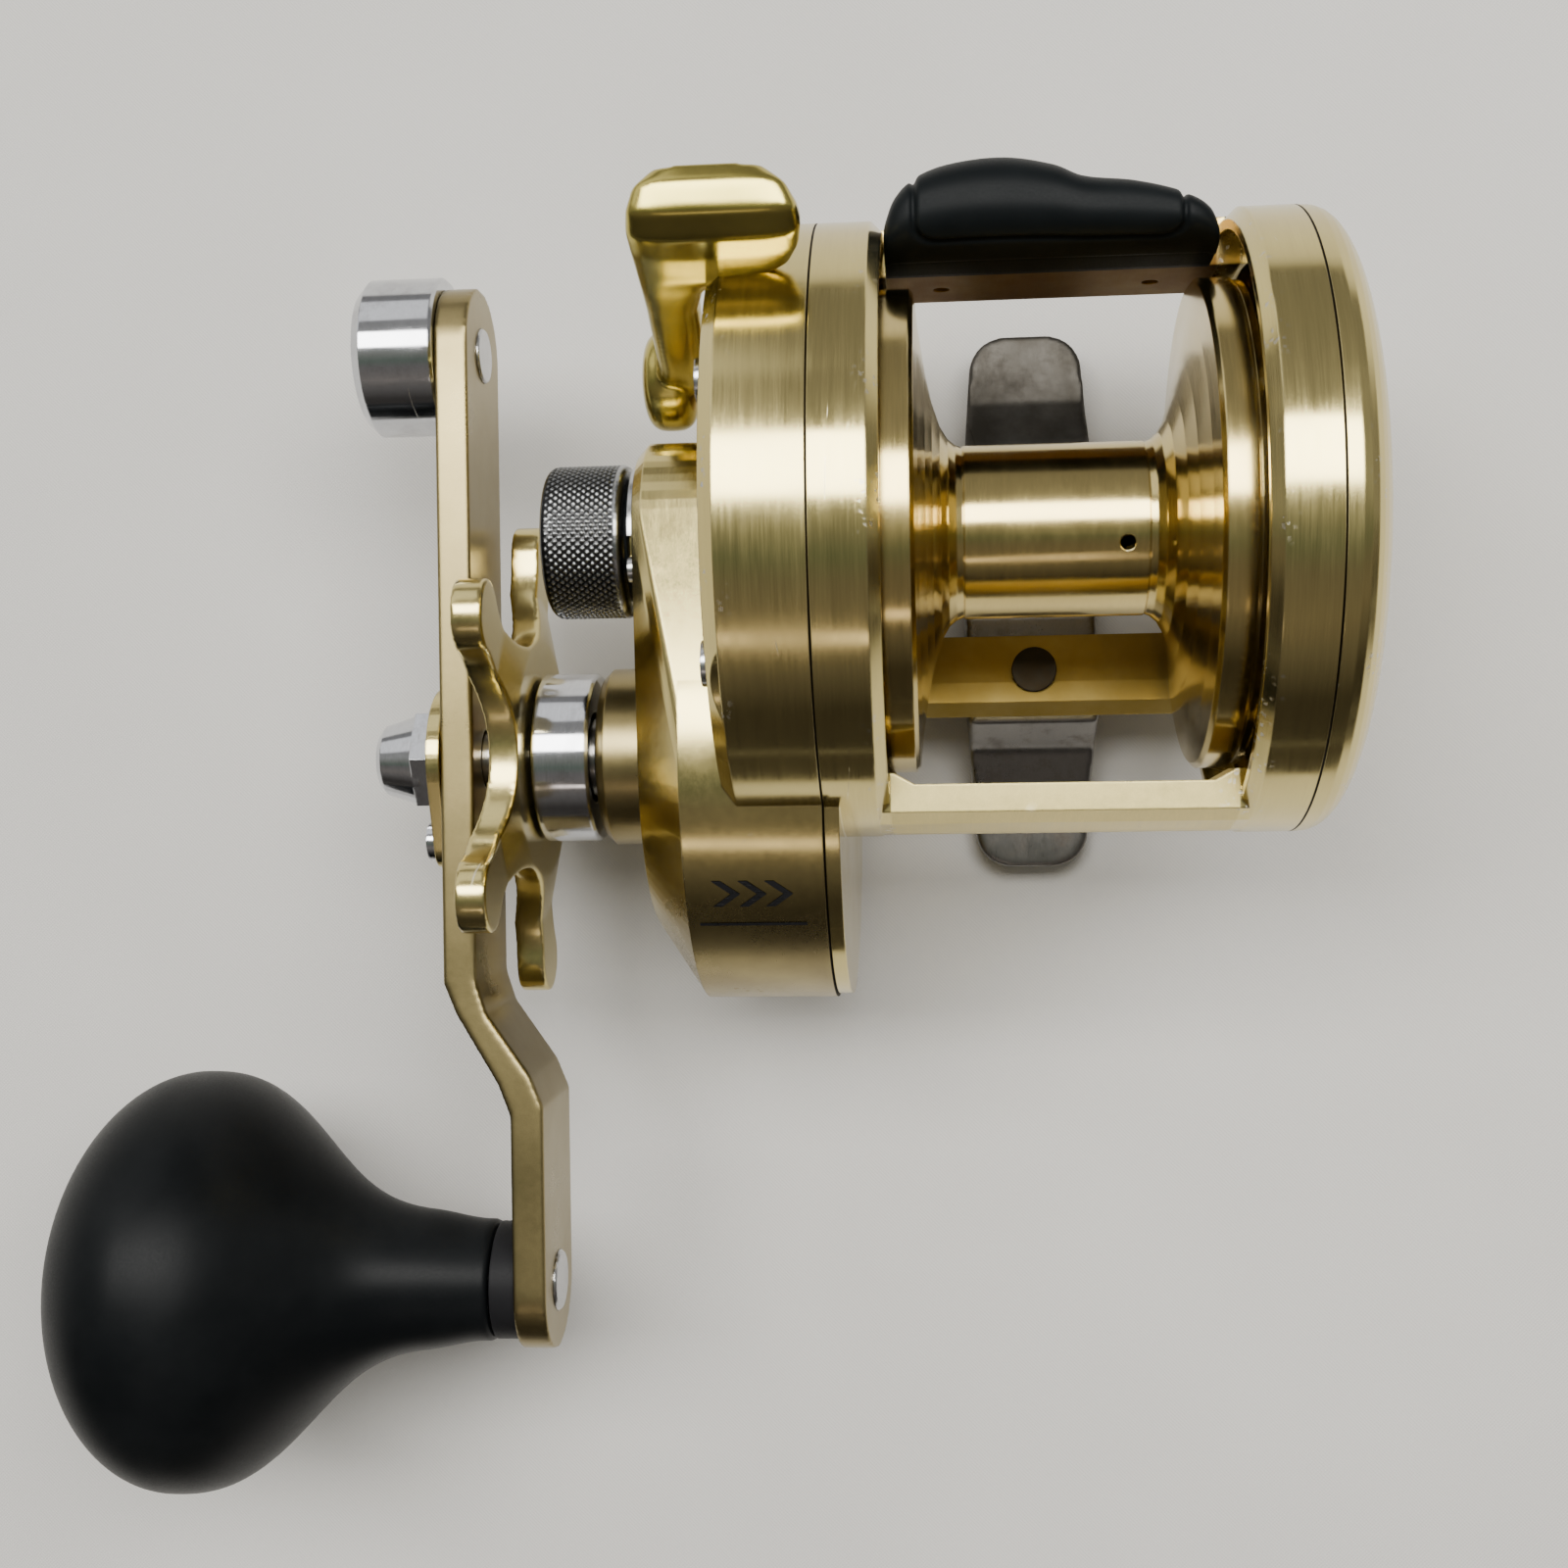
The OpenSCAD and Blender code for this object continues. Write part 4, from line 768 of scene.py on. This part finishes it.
# Its front foot and its height, and how square its hump is: 2 for an ellipse
REST_FRONT = 27.0
REST_HEIGHT = 10.4
REST_POWER = 2.7
# How far back it reaches, from the handle side to the palm side
REST_BACK = [(-14.3, 30.6), (-13.4, 32.9), (-11.8, 34.6), (-8.7, 35.9), (-3.6, 36.4), (0.9, 35.5),
             (3.4, 34.3), (8.0, 33.6), (12.2, 32.3), (14.4, 30.9), (15.3, 28.9)]
# The raised pad: its ends along X, its lower edge from the front foot, its corners and its rise
PAD_LEFT = -11.6
PAD_RIGHT = 12.1
PAD_FOOT = 8.4
PAD_CORNER = 2.2
PAD_RISE = 0.08
# The groove round the pad, and the line above the lip, which is set back
GROOVE_DEPTH = 0.42
GROOVE_WIDTH = 0.26
LIP_TOP = 4.6
LIP_SETBACK = 0.25
LINE_DEPTH = 0.22
LINE_WIDTH = 0.22
LINE_END_GAP = 0.6


def rest_section(x, share, steps):
    """The hump's outline at x, from its front foot over to its rear foot. share is 0 and 1 at the
    rest's two ends, where the hump runs out in a blunt round."""
    back = through(REST_BACK, x)
    end = (1 - min(1.0, abs(2 * share - 1)) ** 9 * 0.995) ** (1 / 4)
    middle, half = (REST_FRONT + back) / 2, (back - REST_FRONT) / 2
    height = REST_HEIGHT * (0.5 + 0.5 * end)
    section = []
    for i in range(steps + 1):
        t = math.pi * i / steps
        section.append((middle - half * signed_power(math.cos(t), 2 / REST_POWER),
                        height * math.sin(t) ** (2 / REST_POWER)))
    return section


def rest_relief(x, run, left, right):
    """How far the skin stands out at x, and at a run along the section from its front foot."""
    across = max(PAD_LEFT + PAD_CORNER - x, x - PAD_RIGHT + PAD_CORNER)
    along = PAD_FOOT + PAD_CORNER - run
    corner = math.hypot(max(across, 0.0), max(along, 0.0))
    outside = min(max(across, along), 0.0) + corner - PAD_CORNER
    relief = PAD_RISE * smooth_step(-outside / 0.5)
    relief -= GROOVE_DEPTH * math.exp(-(outside / GROOVE_WIDTH) ** 2)
    if left + LINE_END_GAP < x < right - LINE_END_GAP:
        relief -= LINE_DEPTH * math.exp(-((run - LIP_TOP) / LINE_WIDTH) ** 2)
    return relief - LIP_SETBACK * smooth_step((LIP_TOP - run) / 0.3)


def add_thumb_rest():
    """Rubber thumb rest: a humped shell with a raised pad inside a groove, and a lip at its foot."""
    low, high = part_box("thumb_rest")
    left, right, base = low.x / MM, high.x / MM, low.z / MM
    rows, steps = 190, 120
    verts = []
    for j in range(rows + 1):
        share = 0.5 - 0.5 * math.cos(math.pi * j / rows)
        x = left + share * (right - left)
        section = rest_section(x, share, steps)
        run = 0.0
        for i, (y, z) in enumerate(section):
            before, after = section[max(i - 1, 0)], section[min(i + 1, steps)]
            run += math.dist(before, (y, z))
            way_y, way_z = after[0] - before[0], after[1] - before[1]
            relief = rest_relief(x, run, left, right) / math.hypot(way_y, way_z)
            verts.append((x * MM, (y - relief * way_z) * MM, (base + z + relief * way_y) * MM))
    width = steps + 1
    faces = []
    for row in range(0, rows * width, width):
        for i in range(row, row + steps):
            faces.append((i, i + 1, i + width + 1, i + width))
    for row in range(0, rows * width, width):
        faces.append((row, row + width, row + width + steps, row + steps))
    faces += end_faces(0, rows + 1, width)
    rest = new_piece("thumb_rest_shell", verts, faces, "rubber_black", "frame")
    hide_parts("thumb_rest", "thumb_rest_pad")


# ---- Printed mark ----

def add_mark():
    """Small generic mark on the gear case: three chevrons over a thin line. Its points are X in
    millimetres and an angle in degrees, back from straight up round the drive shaft."""
    radius = CASE_RADIUS + 0.06 * MM
    flats = 6
    verts, faces = [], []

    def stroke(start, end, width):
        """A stroke in short flats that follow the case, with its width across its run."""
        level = start[1] == end[1]
        half_x = 0.0 if level else width / 2 / MM
        half_angle = math.degrees(width / radius) / 2 if level else 0.0
        for k in range(flats):
            faces.append(tuple(range(len(verts), len(verts) + 4)))
            for step, side in ((k, -1), (k + 1, -1), (k + 1, 1), (k, 1)):
                share = step / flats
                x = start[0] + (end[0] - start[0]) * share + side * half_x
                a = math.radians(start[1] + (end[1] - start[1]) * share + side * half_angle)
                verts.append((x * MM, SHAFT_AXIS.y + radius * math.sin(a),
                              SHAFT_AXIS.z + radius * math.cos(a)))

    first_left, chevron_step, chevron_width, chevron_stroke = -30.2, 2.4, 1.7, 0.85 * MM
    top, middle, bottom = -28.6, -31.9, -35.2
    for k in range(3):
        left = first_left + chevron_step * k
        stroke((left, top), (left + chevron_width, middle), chevron_stroke)
        stroke((left + chevron_width, middle), (left, bottom), chevron_stroke)
    line_left, line_right, line_angle, line_stroke = -32.0, -22.2, -40.2, 0.32 * MM
    stroke((line_left, line_angle), (line_right, line_angle), line_stroke)
    new_piece("gear_case_mark", verts, faces, "plastic_black", "frame")


add_camera()
add_lights()
add_floor()
materials = give_materials()
add_clutch_lever()
smooth_cast("reel_foot", 0.35 * MM, 6, "foot_metal", "frame")
smooth_cast("handle_arm", 0.25 * MM, 5, "gold_satin", "handle")
smooth_cast("star_drag", 0.20 * MM, 9, "gold_plate", "star")
add_cast_knob()
add_handle_knob()
add_thumb_rest()
add_mark()
